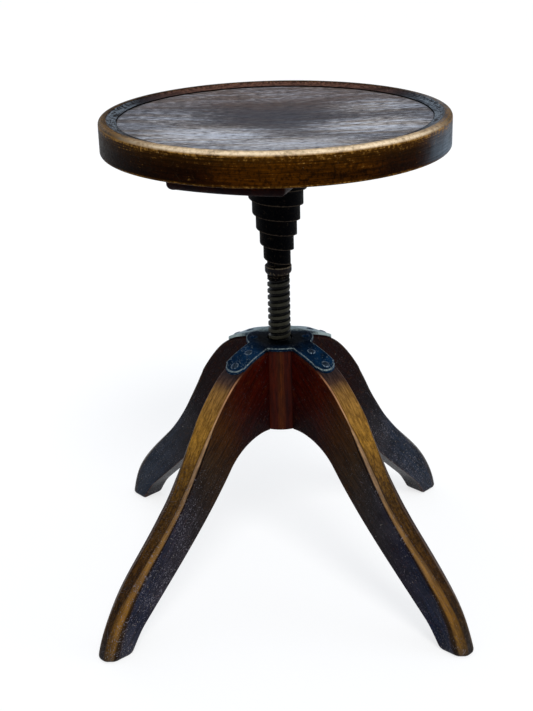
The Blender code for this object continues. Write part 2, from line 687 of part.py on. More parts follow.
def hoop_mesh():
    """The bent hoop round the panel: rounded rim, cove down to a lip, groove for the panel, and wall."""
    bottom = SEAT_TOP - HOOP_HEIGHT
    groove = PANEL_RADIUS + FIT
    lip = PANEL_RADIUS - LIP_COVER
    cove_start = SEAT_RADIUS - (SEAT_RADIUS - lip) * RIM_BAND_SHARE
    cove_depth = RIM_RISE - RIM_STEP
    outline = [
        (HOOP_INSIDE, bottom), (SEAT_RADIUS - HOOP_FOOT_ROUND, bottom), (SEAT_RADIUS, bottom + HOOP_FOOT_ROUND),
        (SEAT_RADIUS, SEAT_TOP - RIM_ROUND),
    ]
    for step in range(1, 5):
        angle = math.pi / 2 * step / 4
        outline.append((
            SEAT_RADIUS - RIM_ROUND * (1 - math.cos(angle)),
            SEAT_TOP - RIM_ROUND * (1 - math.sin(angle)),
        ))
    for step in range(4):
        angle = math.pi / 2 * step / 3
        outline.append((
            cove_start - (cove_start - lip) * (1 - math.cos(angle)),
            SEAT_TOP - cove_depth * math.sin(angle),
        ))
    outline += [
        (lip, PANEL_TOP + FIT), (groove, PANEL_TOP + FIT),
        (groove, PANEL_BOTTOM - FIT), (HOOP_INSIDE, PANEL_BOTTOM - FIT),
    ]
    return mesh_from(spun(outline, SEAT_SEGMENTS), "seat_hoop")


def build_stand(stand, wood, post_wood, dowel_wood, iron, steel):
    leg = leg_mesh()
    names = ("back_right", "back_left", "front_left", "front_right")
    dowels = [mesh_from(rod(start, end, DOWEL_RADIUS), "dowel") for start, end in dowel_ends()]
    arm_screw = screw_mesh(ARM_SCREW_LENGTH)
    for name, azimuth in zip(names, leg_azimuths()):
        turn = Matrix.Rotation(azimuth, 4, "Z")
        place(f"leg_{name}", leg, wood, stand, turn)
        for level, dowel in zip(("lower", "upper"), dowels):
            place(f"dowel_{name}_{level}", dowel, dowel_wood, stand, turn)
        for level, out in zip(("inner", "outer"), ARM_SCREWS_OUT):
            seat, along = arm_screw_seat(out)
            tilt = along.to_track_quat("Z", "Y").to_matrix().to_4x4()
            matrix = turn @ Matrix.Translation(seat) @ tilt
            place(f"arm_screw_{name}_{level}", arm_screw, steel, stand, matrix)
    place("hub_post", post_mesh(), post_wood, stand)
    place("spider_plate", plate_mesh(), iron, stand)
    place("spindle_nut", nut_mesh(), iron, stand)
    hub_screw = screw_mesh(HUB_SCREW_LENGTH)
    for index, (x, y) in enumerate(hub_screw_places(), 1):
        place(f"hub_screw_{index}", hub_screw, steel, stand, Matrix.Translation((x, y, PLATE_TOP + FIT)))


def build_screw(lift, turn, steel, iron, spring_steel):
    washer = washer_mesh(
        "thrust_washer", RELIEF_RADIUS + RUN, THRUST_WASHER_RADIUS,
        THRUST_WASHER_BOTTOM, THRUST_WASHER_THICKNESS,
    )
    place("thrust_washer", washer, steel, lift)
    place("spindle", spindle_mesh(), steel, turn)
    place("spring_collar", collar_mesh(), iron, turn)
    place("volute_spring", spring_mesh(), spring_steel, turn)
    stop_top = SPINDLE_BOTTOM - FIT
    stop = washer_mesh(
        "stop_washer", STOP_SCREW_RADIUS + FIT, STOP_WASHER_RADIUS,
        stop_top - STOP_WASHER_THICKNESS, STOP_WASHER_THICKNESS,
    )
    place("stop_washer", stop, steel, turn)
    stop_screw = screw_mesh(STOP_SCREW_LENGTH, STOP_SCREW_RADIUS, STOP_SCREW_HEAD_RADIUS, STOP_SCREW_HEAD_HEIGHT)
    under = Matrix.Translation((0, 0, stop_top - STOP_WASHER_THICKNESS - FIT))
    place("stop_screw", stop_screw, steel, turn, under @ Matrix.Rotation(math.pi, 4, "X"))
    pin = rod((-PIN_LENGTH / 2, 0, PIN_HEIGHT), (PIN_LENGTH / 2, 0, PIN_HEIGHT), PIN_RADIUS)
    place("drive_pin", mesh_from(pin, "drive_pin"), steel, turn)


def build_seat(seat, wood, panel_wood, bearer_wood, iron, steel):
    place("seat_guide", guide_mesh(), iron, seat)
    place("bearer_board", bearer_mesh(), bearer_wood, seat)
    place("seat_panel", panel_mesh(), panel_wood, seat)
    place("seat_hoop", hoop_mesh(), wood, seat)
    upward = Matrix.Rotation(math.pi, 4, "X")
    guide_screw = screw_mesh(GUIDE_SCREW_LENGTH)
    for index, (x, y) in enumerate(guide_screw_places(), 1):
        seat_point = Matrix.Translation((x, y, GUIDE_PLATE_BOTTOM - FIT))
        place(f"guide_screw_{index}", guide_screw, steel, seat, seat_point @ upward)
    bearer_screw = screw_mesh(BEARER_THICKNESS + 2 * FIT + BEARER_SCREW_BITE)
    for index, (x, y) in enumerate(bearer_screw_places(), 1):
        seat_point = Matrix.Translation((x, y, BEARER_BOTTOM - FIT))
        place(f"bearer_screw_{index}", bearer_screw, steel, seat, seat_point @ upward)


def main():
    clear_scene()
    leg_wood = finish("leg wood, brown stain", (0.11, 0.055, 0.025), 0.45, 0.0)
    post_wood = finish("post wood, red brown", (0.10, 0.032, 0.014), 0.42, 0.0)
    dowel_wood = finish("dowel, pale beech", (0.45, 0.30, 0.17), 0.7, 0.0)
    hoop_wood = finish("hoop wood, dark brown", (0.09, 0.042, 0.018), 0.38, 0.0)
    panel_wood = finish("panel wood, grey brown", (0.10, 0.075, 0.065), 0.4, 0.0)
    bearer_wood = finish("bearer wood, dark", (0.05, 0.025, 0.015), 0.5, 0.0)
    iron = finish("iron, blue black", (0.05, 0.065, 0.085), 0.4, 0.9)
    steel = finish("steel, dark olive", (0.10, 0.10, 0.085), 0.38, 0.9)
    spring_steel = finish("spring steel, black", (0.02, 0.021, 0.024), 0.35, 0.8)
    stand = empty("stand")
    lift = empty("lift", stand)
    turn = empty("turn", lift)
    seat = empty("seat", turn)
    build_stand(stand, leg_wood, post_wood, dowel_wood, iron, steel)
    build_screw(lift, turn, steel, iron, spring_steel)
    build_seat(seat, hoop_wood, panel_wood, bearer_wood, iron, steel)
    bpy.context.view_layer.update()
    print(f"seat top {SEAT_TOP:.4f} m, lift {-TURNS_DOWN * THREAD_PITCH:.4f} to {TURNS_UP * THREAD_PITCH:.4f} m")


main()
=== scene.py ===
# %% [markdown]
# # A sprung, screw-lifted stool
# This lesson dresses the solids of an old adjustable stool: a round dished seat in a bent hoop, a
# volute spring on a lifting screw, an iron plate, and four sawn legs round a turned post. The solids
# come from the frame. Each visible one gets a finer surface, worked out with numpy on a grid of two
# parameters, and a finish made of shader nodes.

import json
import math

import bmesh
import bpy
import numpy as np
from mathutils import Matrix, Vector

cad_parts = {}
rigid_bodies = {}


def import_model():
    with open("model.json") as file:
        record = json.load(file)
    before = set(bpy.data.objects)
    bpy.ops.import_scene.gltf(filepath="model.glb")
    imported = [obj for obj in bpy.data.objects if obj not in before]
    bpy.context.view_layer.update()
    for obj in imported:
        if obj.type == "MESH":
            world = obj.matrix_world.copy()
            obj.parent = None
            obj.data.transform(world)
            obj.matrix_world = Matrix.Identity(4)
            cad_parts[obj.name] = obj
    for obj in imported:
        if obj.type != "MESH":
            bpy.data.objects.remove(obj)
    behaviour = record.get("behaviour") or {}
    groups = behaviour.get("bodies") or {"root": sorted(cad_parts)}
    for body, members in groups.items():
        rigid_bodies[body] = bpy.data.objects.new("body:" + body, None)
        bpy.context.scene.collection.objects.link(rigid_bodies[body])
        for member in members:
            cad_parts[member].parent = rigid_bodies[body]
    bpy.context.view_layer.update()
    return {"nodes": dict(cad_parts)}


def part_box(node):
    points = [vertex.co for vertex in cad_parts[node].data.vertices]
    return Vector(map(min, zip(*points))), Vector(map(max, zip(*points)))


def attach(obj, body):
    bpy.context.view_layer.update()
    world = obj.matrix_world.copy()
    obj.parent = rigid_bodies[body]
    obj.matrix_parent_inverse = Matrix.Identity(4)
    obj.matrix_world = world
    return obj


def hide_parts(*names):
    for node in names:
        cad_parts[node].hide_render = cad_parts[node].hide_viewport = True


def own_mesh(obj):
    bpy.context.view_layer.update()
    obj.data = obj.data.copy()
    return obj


for leftover in list(bpy.data.objects):
    bpy.data.objects.remove(leftover, do_unlink=True)
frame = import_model()
nodes = frame["nodes"]


def linked(name, data):
    """A new object in the scene."""
    made = bpy.data.objects.new(name, data)
    bpy.context.scene.collection.objects.link(made)
    return made


# %% [markdown]
# ## Camera
# The photograph's camera was found by fitting a level seat circle and four feet on one floor. It
# stands about 1.3 m in front of the screw's axis and 0.77 m up, and looks 22 degrees down. The
# lens follows from the focal length in pixels and the picture's height.

# %% Camera
PICTURE_HEIGHT = 711
FOCAL_PIXELS = 1286.476
CAMERA_DISTANCE = 1.264725
CAMERA_HEIGHT = 0.768104
CAMERA_PITCH = math.radians(22.151)
CAMERA_ROLL = math.radians(-1.509)
CAMERA_YAW = math.radians(-0.657)
STOOL_TURN = math.radians(0.296)
SENSOR = 36.0


def camera_axes():
    """The camera's right, up and forward directions: a yaw and a pitch, then a roll about forward."""
    level = math.cos(CAMERA_PITCH)
    ahead, aside = math.cos(CAMERA_YAW), math.sin(CAMERA_YAW)
    forward = Vector((aside * level, ahead * level, -math.sin(CAMERA_PITCH)))
    right = Vector((ahead, -aside, 0))
    up = right.cross(forward)
    cosine, sine = math.cos(CAMERA_ROLL), math.sin(CAMERA_ROLL)
    return cosine * right + sine * up, cosine * up - sine * right, forward


camera_data = bpy.data.cameras.new("photo_camera")
camera_data.sensor_fit = "VERTICAL"
camera_data.sensor_height = SENSOR
camera_data.lens = SENSOR * FOCAL_PIXELS / PICTURE_HEIGHT
camera = linked("photo_camera", camera_data)
camera_right, camera_up, camera_forward = camera_axes()
facing = Matrix((camera_right, camera_up, -camera_forward)).transposed().to_4x4()
standing = Matrix.Translation((0, -CAMERA_DISTANCE, CAMERA_HEIGHT))
camera.matrix_world = Matrix.Rotation(STOOL_TURN, 4, "Z") @ standing @ facing
bpy.context.scene.camera = camera
bpy.context.scene.view_settings.view_transform = "Standard"
print("camera: lens", round(camera_data.lens, 1), "mm")

# %% [markdown]
# ## Nodes, groups and colours
# A finish is a small network of nodes, and the same effects come back in many finishes: grain, dirt,
# scratches, rubbed edges. Each effect is a node group with named inputs and outputs. A node's output
# is kept as a wire. Sums and products of wires add Math nodes, so the networks below read like sums.
# Colours are written as sRGB codes such as "8a6a35".

# %% Node helpers


class Wire:
    """A node's output to reckon with: each sum or product adds a Math node to its tree."""

    def __init__(self, socket):
        self.socket = socket
        self.tree = socket.id_data

    def reckon(self, operation, *values):
        return wire(self.tree, "Math", dict(enumerate(values)), operation=operation)

    def __add__(self, other):
        return self.reckon("ADD", self, other)

    def __sub__(self, other):
        return self.reckon("SUBTRACT", self, other)

    def __rsub__(self, other):
        return self.reckon("SUBTRACT", other, self)

    def __mul__(self, other):
        return self.reckon("MULTIPLY", self, other)

    def __abs__(self):
        return self.reckon("ABSOLUTE", self)

    def most(self, other):
        return self.reckon("MAXIMUM", self, other)

    def cosine(self):
        return self.reckon("COSINE", self)

    def held(self):
        """The same result, kept between 0 and 1."""
        self.socket.node.use_clamp = True
        return self


def paint(code):
    """Linear colour of a written one: each channel is taken to the power 2.2."""
    return (*[(int(code[at:at + 2], 16) / 255) ** 2.2 for at in (0, 2, 4)], 1.0)


def feed(socket, value):
    """Links a wire to a socket, or sets a number, a vector or a written colour on it."""
    if isinstance(value, Wire):
        value.tree.links.new(value.socket, socket)
    else:
        socket.default_value = paint(value) if isinstance(value, str) else value


def add_node(tree, kind, inputs=None, **settings):
    """Adds a shader node with its settings, and feeds the inputs named or numbered in a dictionary."""
    made = tree.nodes.new("ShaderNode" + kind)
    for name, value in settings.items():
        setattr(made, name, value)
    for key, value in (inputs or {}).items():
        feed(made.inputs[key], value)
    return made


def wire(tree, kind, inputs=None, pick=0, **settings):
    """Adds a node and gives one of its outputs."""
    return Wire(add_node(tree, kind, inputs, **settings).outputs[pick])


def wires(node):
    """All of a node's outputs by name."""
    return {socket.name: Wire(socket) for socket in node.outputs}


def tree_of(values):
    """The tree of the first wire among some values."""
    return next(value.tree for value in values if isinstance(value, Wire))


def here(tree):
    """The place on the piece, in metres."""
    return wire(tree, "TexCoord", pick="Object")


def field(tree, name, output="Fac"):
    """A value or vector that the mesh carries at its points."""
    return wire(tree, "Attribute", pick=output, attribute_name=name)


def parts(vector):
    """The three numbers of a vector."""
    return list(wires(add_node(vector.tree, "SeparateXYZ", {0: vector})).values())


def between(value, low, high):
    """A smooth step: 0 below low, 1 above high. It falls instead where low is above high."""
    ends = (0.0, 1.0) if low < high else (1.0, 0.0)
    low, high = sorted((low, high))
    inputs = {"Value": value, "From Min": low, "From Max": high, "To Min": ends[0], "To Max": ends[1]}
    return wire(value.tree, "MapRange", inputs, interpolation_type="SMOOTHSTEP")


def mixed(factor, first, second, blend="MIX"):
    """Mixes two colours."""
    inputs = {0: factor, 6: first, 7: second}
    return wire(tree_of(inputs.values()), "Mix", inputs, 2, data_type="RGBA", blend_type=blend)


def ramp(value, *stops):
    """A colour that changes along a value, through (place, written colour) stops."""
    made = add_node(value.tree, "ValToRGB", {0: value})
    band = made.color_ramp.elements
    while len(band) < len(stops):
        band.new(0.5)
    for element, (place, code) in zip(band, stops):
        element.position = place
        element.color = paint(code)
    return Wire(made.outputs[0])


def stretched(vector, *scale):
    """A vector multiplied axis by axis, which draws a pattern out along the axes with small numbers."""
    return wire(vector.tree, "VectorMath", {0: vector, 1: scale}, operation="MULTIPLY")


def noise(vector, scale, detail, roughness=0.5, distortion=0.0):
    """Smooth random values about 0.5."""
    inputs = {"Scale": scale, "Detail": detail, "Roughness": roughness, "Distortion": distortion}
    return wire(vector.tree, "TexNoise", {"Vector": vector, **inputs})


def swayed(vector, scale, reach):
    """A vector moved a little by noise, which bends a pattern."""
    sway = wire(vector.tree, "TexNoise", {"Vector": vector, "Scale": scale, "Detail": 2.0}, "Color")
    inputs = {0: sway, 1: (reach,) * 3, 2: vector}
    return wire(vector.tree, "VectorMath", inputs, operation="MULTIPLY_ADD")


# %% Groups


def new_group(name, outputs, **inputs):
    """An empty group: its tree, its inputs as wires and its outputs' sockets.

    An input is given with its usual number, or with None if it is a vector.
    """
    tree = bpy.data.node_groups.new(name, "ShaderNodeTree")
    for label, value in inputs.items():
        kind = "NodeSocketVector" if value is None else "NodeSocketFloat"
        socket = tree.interface.new_socket(label, in_out="INPUT", socket_type=kind)
        if value is not None:
            socket.default_value = value
    for label in outputs:
        tree.interface.new_socket(label, in_out="OUTPUT", socket_type="NodeSocketFloat")
    return tree, wires(tree.nodes.new("NodeGroupInput")), tree.nodes.new("NodeGroupOutput").inputs


def make_grain():
    """Wood: broad figure, fine fibre streaks and short open pores, all drawn out along X."""
    tree, given, result = new_group("wood grain", ("Figure", "Streaks", "Pores"), Place=None)
    place = given["Place"]
    figure = noise(stretched(place, 5, 75, 75), 1.0, 3.0, 0.55, 0.8)
    streaks = noise(stretched(place, 38, 420, 420), 1.0, 4.0, 0.65)
    pores = noise(stretched(place, 110, 1900, 1900), 1.0, 1.0)
    feed(result["Figure"], between(figure, 0.3, 0.7))
    feed(result["Streaks"], between(streaks, 0.36, 0.64))
    feed(result["Pores"], between(pores, 0.58, 0.7))
    return tree


# Turns of the scratches, and how short they are.
HAIRS = (
    ((0.4, 0.3, 0.5), 28), ((1.3, 0.9, -0.6), 16), ((-0.7, 1.6, 1.4), 38),
    ((2.0, 0.2, 2.2), 22), ((0.9, -1.1, 0.1), 13),
)


def make_scuffs():
    """Hard use: chips of many sizes in loose clusters, and hairline scratches that cross each other.

    A chip is the middle of a random cell, kept where the cell's own chance is high, with fine dust round
    it. A scratch is a peak of noise drawn out into a hair, in several directions on a curved grid.
    """
    tree, given, result = new_group("scuffs", ("Specks", "Scratches"), Place=None, Share=0.5)
    place = given["Place"]
    more = given["Share"] * 0.25
    cells = wires(add_node(tree, "TexVoronoi", {"Vector": swayed(place, 420.0, 0.002), "Scale": 430.0}))
    chance = parts(cells["Color"])[0]
    clusters = noise(place, 60.0, 3.0, 0.6) * 0.9 - 0.45
    chips = between(cells["Distance"], 0.38, 0.1) * between(chance + clusters + more, 1.1, 1.16)
    curved = swayed(place, 60.0, 0.006)
    hairs = 0.0
    patches = noise(place, 48.0, 2.0) * 0.2 + (more * 0.15 - 0.1)
    for turn, shortness in HAIRS:
        swung = wire(tree, "Mapping", {"Vector": curved, "Rotation": turn})
        peaks = noise(stretched(swung, shortness, 950, 950), 1.0, 0.0) + patches
        hairs = between(peaks, 0.79, 0.85).most(hairs)
    hairs = hairs * (given["Share"] * 0.8 + 0.2)
    dust = between(noise(place, 760.0, 2.0), 0.6, 0.72) * (given["Share"] * 0.2)
    feed(result["Specks"], chips.most(dust))
    feed(result["Scratches"], hairs)
    return tree


def make_patina():
    """Age: slow clouds of darker and lighter finish, and a fine mottle of dirt."""
    tree, given, result = new_group("patina", ("Clouds", "Mottle"), Place=None)
    clouds = noise(given["Place"], 22.0, 3.0, 0.55, 0.4)
    mottle = noise(given["Place"], 260.0, 4.0, 0.7)
    feed(result["Clouds"], between(clouds, 0.3, 0.7))
    feed(result["Mottle"], between(mottle, 0.25, 0.75))
    return tree


def make_rub():
    """Rubbed edges: the mesh's own mark of an edge, broken up by the mottle."""
    tree, given, result = new_group("rubbed edge", ("Bare",), Edge=0.0, Mottle=0.5, Ragged=0.5)
    moved = (given["Mottle"] - 0.5) * given["Ragged"] + given["Edge"]
    feed(result["Bare"], between(moved, 0.35, 0.8))
    return tree


grain_group = make_grain()
scuff_group = make_scuffs()
patina_group = make_patina()
rub_group = make_rub()
print("groups:", [group.name for group in bpy.data.node_groups])

# %% [markdown]
# ## Parts of a finish
# Every finish ends in one Principled shader. Gloss that is the same all over is set on the shader's
# own sockets; what changes over the surface comes from the groups. Old varnish mirrors the sky a
# little, so its reflections are tinted cool.

# %% Finish helpers


def placed(group, **inputs):
    """Puts a group into the tree of its inputs and gives its outputs by name."""
    return wires(add_node(tree_of(inputs.values()), "Group", inputs, node_tree=group))


def new_finish(name, specular, tint="ffffff", metallic=0.0):
    """A material with its shader's even sockets set."""
    material = bpy.data.materials.new(name)
    material.use_nodes = True
    shader = material.node_tree.nodes["Principled BSDF"]
    even = {"Specular IOR Level": specular, "Specular Tint": tint, "Metallic": metallic}
    for label, value in even.items():
        feed(shader.inputs[label], value)
    return material, material.node_tree, shader


def surface(shader, color, roughness, height, depth):
    """Feeds the colour, the roughness and a bump of a depth in metres to the shader."""
    bump = wire(height.tree, "Bump", {"Height": height, "Distance": depth, "Strength": 1.0})
    for label, value in (("Base Color", color), ("Roughness", roughness), ("Normal", bump)):
        feed(shader.inputs[label], value)


def grained(color, grain, dark, share=0.55):
    """Darkens a wood colour along its streaks and in its pores."""
    lined = mixed((1.0 - grain["Streaks"]) * share, color, dark)
    return mixed(grain["Pores"] * share, lined, dark)


def wood_height(grain, scuffs, mottle):
    """Relief of worn wood: pores and scratches cut in, and the finish is a little uneven."""
    cut = grain["Pores"] * 0.5 + scuffs["Scratches"] + scuffs["Specks"] * 0.7
    fine = grain["Streaks"] * 0.35 + mottle * 0.6
    return fine - cut


# %% [markdown]
# ## Surfaces from grids
# Most pieces are rows of closed rings: a grid of points with two indices, joined by quads. Other
# helpers round the corners of an outline, because no edge on an old stool is sharp, and turn a
# profile about the axis. The last one makes the piece: it merges doubled points, turns the faces
# outwards and names the body it rides on.

# %% Surface helpers
# Pieces stand FIT apart. Points nearer than MERGE become one. A round takes at most ROUND_ROOM of the
# shorter side at its corner, and with the run beside it RUN_ROOM of each side.
FIT = 0.0003
MERGE = 0.000004
ROUND_ROOM = 0.36
RUN_ROOM = 0.46
SHARP_ANGLE = math.radians(40)
CORNER_STEPS = np.array([-1.0, 0.0, 0.17, 0.33, 0.5, 0.67, 0.83, 1.0, 2.0])
CORNER_MARKS = np.clip(1.5 - np.abs(CORNER_STEPS - 0.5), 0.0, 1.0)


def ring_faces(rows, columns, ends):
    """Quads between neighbouring rings. The last joins the first, or both get a cap, or stay open."""
    count = rows if ends == "loop" else rows - 1
    low = np.arange(count)[:, None] * columns
    high = (np.arange(count)[:, None] + 1) % rows * columns
    column = np.arange(columns)[None, :]
    beside = (column + 1) % columns
    faces = np.stack([low + column, low + beside, high + beside, high + column], axis=-1)
    faces = faces.reshape(-1, 4).tolist()
    if ends == "cap":
        faces.append(list(range(columns))[::-1])
        faces.append(list(range((rows - 1) * columns, rows * columns)))
    return faces


def eased(corners, reach, run=0.0015):
    """Rounds the corners of closed outlines.

    A quadratic curve, (1-t)^2 start + 2t(1-t) corner + t^2 end, leaves a distance `reach` before each
    corner and arrives as far after it. One more point lies `run` further out on each side, so that
    the flats stay flat when they are shaded smooth.
    """
    corners = np.asarray(corners, dtype=float)
    ways, rooms = [], []
    for shift in (1, -1):
        way = np.roll(corners, shift, axis=-2) - corners
        room = np.linalg.norm(way, axis=-1, keepdims=True)
        ways.append(way / room)
        rooms.append(room)
    reach = np.broadcast_to(np.asarray(reach, dtype=float), corners.shape[:-1])[..., None]
    reach = np.minimum(reach, ROUND_ROOM * np.minimum(rooms[0], rooms[1]))
    runs = [np.minimum(run, RUN_ROOM * room - reach) for room in rooms]
    start = corners + ways[0] * reach
    end = corners + ways[1] * reach
    t = np.clip(CORNER_STEPS, 0.0, 1.0)[:, None]
    start, middle, end = start[..., None, :], corners[..., None, :], end[..., None, :]
    curve = (1 - t) ** 2 * start + 2 * t * (1 - t) * middle + t**2 * end
    curve[..., 0, :] += ways[0] * runs[0]
    curve[..., -1, :] += ways[1] * runs[1]
    return curve.reshape(*corners.shape[:-2], -1, 2)


def sections(*corners):
    """Outlines for a row of stations, from corners whose coordinates run along the stations."""
    flat = [value for corner in corners for value in corner]
    return np.stack(np.broadcast_arrays(*flat), axis=-1).reshape(-1, len(corners), 2)


def evened(outline, steps):
    """A closed outline with its points spread evenly and then averaged with their neighbours.

    The averaging eases the corners by about a step.
    """
    whole = np.concatenate([outline, outline[:1]])
    length = np.concatenate([[0], np.cumsum(np.linalg.norm(np.diff(whole, axis=0), axis=-1))])
    even = np.linspace(0, length[-1], steps, endpoint=False)
    spread = np.stack([np.interp(even, length, whole[:, axis]) for axis in (0, 1)], axis=-1)
    return 0.25 * np.roll(spread, -1, axis=0) + 0.5 * spread + 0.25 * np.roll(spread, 1, axis=0)


def drawn_in(outline, inset):
    """An outline moved inwards along its own normals."""
    along = np.roll(outline, -1, axis=0) - np.roll(outline, 1, axis=0)
    along = along / np.linalg.norm(along, axis=-1, keepdims=True)
    inward = np.stack([-along[:, 1], along[:, 0]], axis=-1)
    return outline + inward * inset


def around(radius, angle, height):
    """Points about Z: (r cos a, r sin a, z)."""
    return np.stack(np.broadcast_arrays(radius * np.cos(angle), radius * np.sin(angle), height), axis=-1)


def turned(profile, steps):
    """Rings of a profile of (radius, height) turned about Z."""
    return around(profile[:, :1], np.arange(steps) * math.tau / steps, profile[:, 1:])


def raised(plan, height):
    """A plan of (x, y) at a height."""
    return np.pad(plan, ((0, 0), (0, 1)), constant_values=height)


def arc(centre, radius, start, end, steps):
    """Points of a round from one angle to another, in degrees."""
    angle = np.radians(np.linspace(start, end, steps))
    return np.stack([centre[0] + radius * np.cos(angle), centre[1] + radius * np.sin(angle)], axis=-1)


def add_piece(name, points, faces, material, body, slot, replaced, **fields):
    """Makes the mesh, gives it its fields, closes its seams, and lets it ride for its CAD nodes.

    The faces are listed, or are those of rings that end in a way that ring_faces knows.
    """
    if isinstance(faces, str):
        faces = ring_faces(*points.shape[:2], faces)
    mesh = bpy.data.meshes.new(name)
    mesh.from_pydata(points.reshape(-1, 3).tolist(), [], faces)
    for label, values in fields.items():
        is_vector = np.shape(values) == points.shape
        values = np.broadcast_to(values, points.shape if is_vector else points.shape[:-1])
        layer = mesh.attributes.new(label, "FLOAT_VECTOR" if is_vector else "FLOAT", "POINT")
        layer.data.foreach_set("vector" if is_vector else "value", values.astype(np.float32).ravel())
    shape = bmesh.new()
    shape.from_mesh(mesh)
    bmesh.ops.remove_doubles(shape, verts=shape.verts, dist=MERGE)
    bmesh.ops.recalc_face_normals(shape, faces=shape.faces)
    shape.to_mesh(mesh)
    shape.free()
    mesh.shade_smooth()
    mesh.set_sharp_from_angle(angle=SHARP_ANGLE)
    mesh.materials.append(material)
    piece = linked(name, mesh)
    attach(piece, body)
    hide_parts(*replaced)
    return piece


# %% [markdown]
# ## Legs
# Each leg was sawn from a board with an S-curve and its two outer corners were chamfered, wider and
# wider towards the foot. A loft does this: the two edges of the pattern are curves through a few
# knots, and each station carries a section with six rounded corners across the board. The mesh
# carries fields for the finish, such as which face a point is on, how far along the leg it is, and its
# place in the straight board that the leg was cut from, which is what the grain follows.

# %% Leg shape
STAND_HEIGHT = 0.2708
LEG_START = 0.03085
LEG_REACH = 0.2626
LEG_THICKNESS = 0.027
LEG_TOP_EDGE = np.array([(0, 1, 0), (0.389, 0.723, -53.4), (0.57, 0.479, -45), (1, 0, -76)])
LEG_UNDER_EDGE = np.array([
    (0, 0.668, 4.4), (0.246, 0.573, -48), (0.786, 0.104, -38.7), (0.868, 0, -61.8),
])
SHOULDER_DROP = 0.0023
SHOULDER_SHARE = 0.24
CHAMFER_AT_TOP = 0.0018
CHAMFER_AT_FOOT = 0.0084
CHAMFER_START = 0.29
TOE_ROUND = 0.005
LEG_ROUNDS = np.array([0.0014, 0.0014, 0.0028, 0.0010, 0.0010, 0.0028])
NOSE_START = 0.8
NOSE_GROWTH = 2.6
BOARD_SLOPE = math.radians(-47)
SIDE_SLOPE = 60
LEG_SIDES = {"back_right": 45, "back_left": 135, "front_left": 225, "front_right": 315}
LEG_WEAR = {"back_right": 0.8, "back_left": 0.5, "front_left": 1.0, "front_right": 0.45}


def pattern_edge(knots, share, drop=0.0):
    """Points (out, up) on an edge: cubic Hermite curves between knots of (out, up, direction).

    A drop flattens the shoulder by 6.75 w (1 - w)^2 of it, w being the share of the shoulder's reach.
    """
    spans = len(knots) - 1
    span = np.minimum((share * spans).astype(int), spans - 1)
    t = share * spans - span
    start, end = knots[span], knots[span + 1]
    reach = end[:, :2] - start[:, :2]
    chord = np.hypot(reach[:, 0], reach[:, 1])
    leave = (t**3 - 2 * t**2 + t) * chord
    arrive = (t**3 - t**2) * chord
    ease = 3 * t**2 - 2 * t**3
    leaving, arriving = np.radians(start[:, 2]), np.radians(end[:, 2])
    out = start[:, 0] + reach[:, 0] * ease + leave * np.cos(leaving) + arrive * np.cos(arriving)
    up = start[:, 1] + reach[:, 1] * ease + leave * np.sin(leaving) + arrive * np.sin(arriving)
    w = np.clip(out / SHOULDER_SHARE, 0, 1)
    height = STAND_HEIGHT * up - drop * 6.75 * w * (1 - w) ** 2
    return np.stack([LEG_START + (LEG_REACH - LEG_START) * out, height], axis=-1)


def turned_about(points, degrees):
    """Points turned about Z: (x cos a - y sin a, x sin a + y cos a, z)."""
    cosine, sine = math.cos(math.radians(degrees)), math.sin(math.radians(degrees))
    x, y, z = np.moveaxis(points, -1, 0)
    return np.stack([x * cosine - y * sine, x * sine + y * cosine, z], axis=-1)


def leg_surface(phase, wear, azimuth):
    """Rings of one leg along +X, with the fields that its finish reads.

    A station's section spans from the top edge to the under edge, and from -half to +half across.
    Its corners are: outer face, chamfer, side, underside, side, chamfer. Zone counts these faces
    from 0 on the outer face to 3 underneath, and runs evenly from one to the next round a corner.
    Near is 1 on the side towards the front of the stool, front is 1 on the two front legs, and deep
    runs from 0 on the outer face to 1 underneath. The chamfer's width wanders, as if cut by hand.
    """
    share = np.concatenate([np.linspace(0, 0.95, 96), 1 - 0.05 * np.linspace(0.95, 0, 16) ** 2])
    top = pattern_edge(LEG_TOP_EDGE, share, SHOULDER_DROP)
    under = pattern_edge(LEG_UNDER_EDGE, share)
    growth = np.sqrt(np.clip((share - CHAMFER_START) / (1 - CHAMFER_START), 0, 1))
    wander = 1 + 0.05 * np.sin(17 * share + phase) + 0.04 * np.sin(41 * share + 2 * phase)
    chamfer = (CHAMFER_AT_TOP + (CHAMFER_AT_FOOT - CHAMFER_AT_TOP) * growth) * wander
    way = under - top
    width = np.linalg.norm(way, axis=-1)
    way = way / width[:, None]
    half = LEG_THICKNESS / 2
    corners = sections(
        (chamfer - half, 0), (half - chamfer, 0), (half, chamfer), (half, width), (-half, width),
        (-half, chamfer),
    )
    nose = np.clip((share - NOSE_START) / (1 - NOSE_START), 0, 1)[:, None] ** 2
    section = eased(corners, LEG_ROUNDS * (1 + NOSE_GROWTH * nose))
    across, depth = section[..., 0], section[..., 1]
    points = np.stack([top[:, :1] + way[:, :1] * depth, across, top[:, 1:] + way[:, 1:] * depth], axis=-1)
    points = round_toe(points)
    turn = np.clip(CORNER_STEPS, 0, 1)
    faces = [(0.8, 0), (0, 0.8), (1.2, 2), (2, 3), (3, 2), (2, 1.2)]
    zone = np.concatenate([first + (second - first) * turn for first, second in faces])
    out, up = points[..., 0], points[..., 2]
    along_board = out * math.cos(BOARD_SLOPE) + up * math.sin(BOARD_SLOPE)
    across_board = up * math.cos(BOARD_SLOPE) - out * math.sin(BOARD_SLOPE)
    board = np.stack([along_board + 3 * phase, across_board, across], axis=-1)
    near = np.clip(0.5 - SIDE_SLOPE * across * math.cos(math.radians(azimuth)), 0, 1)
    return points, {
        "zone": zone, "rub": np.tile(CORNER_MARKS, 6), "along": share[:, None], "board": board,
        "near": near, "deep": depth / width[:, None], "wear": wear, "front": float(azimuth > 180),
    }


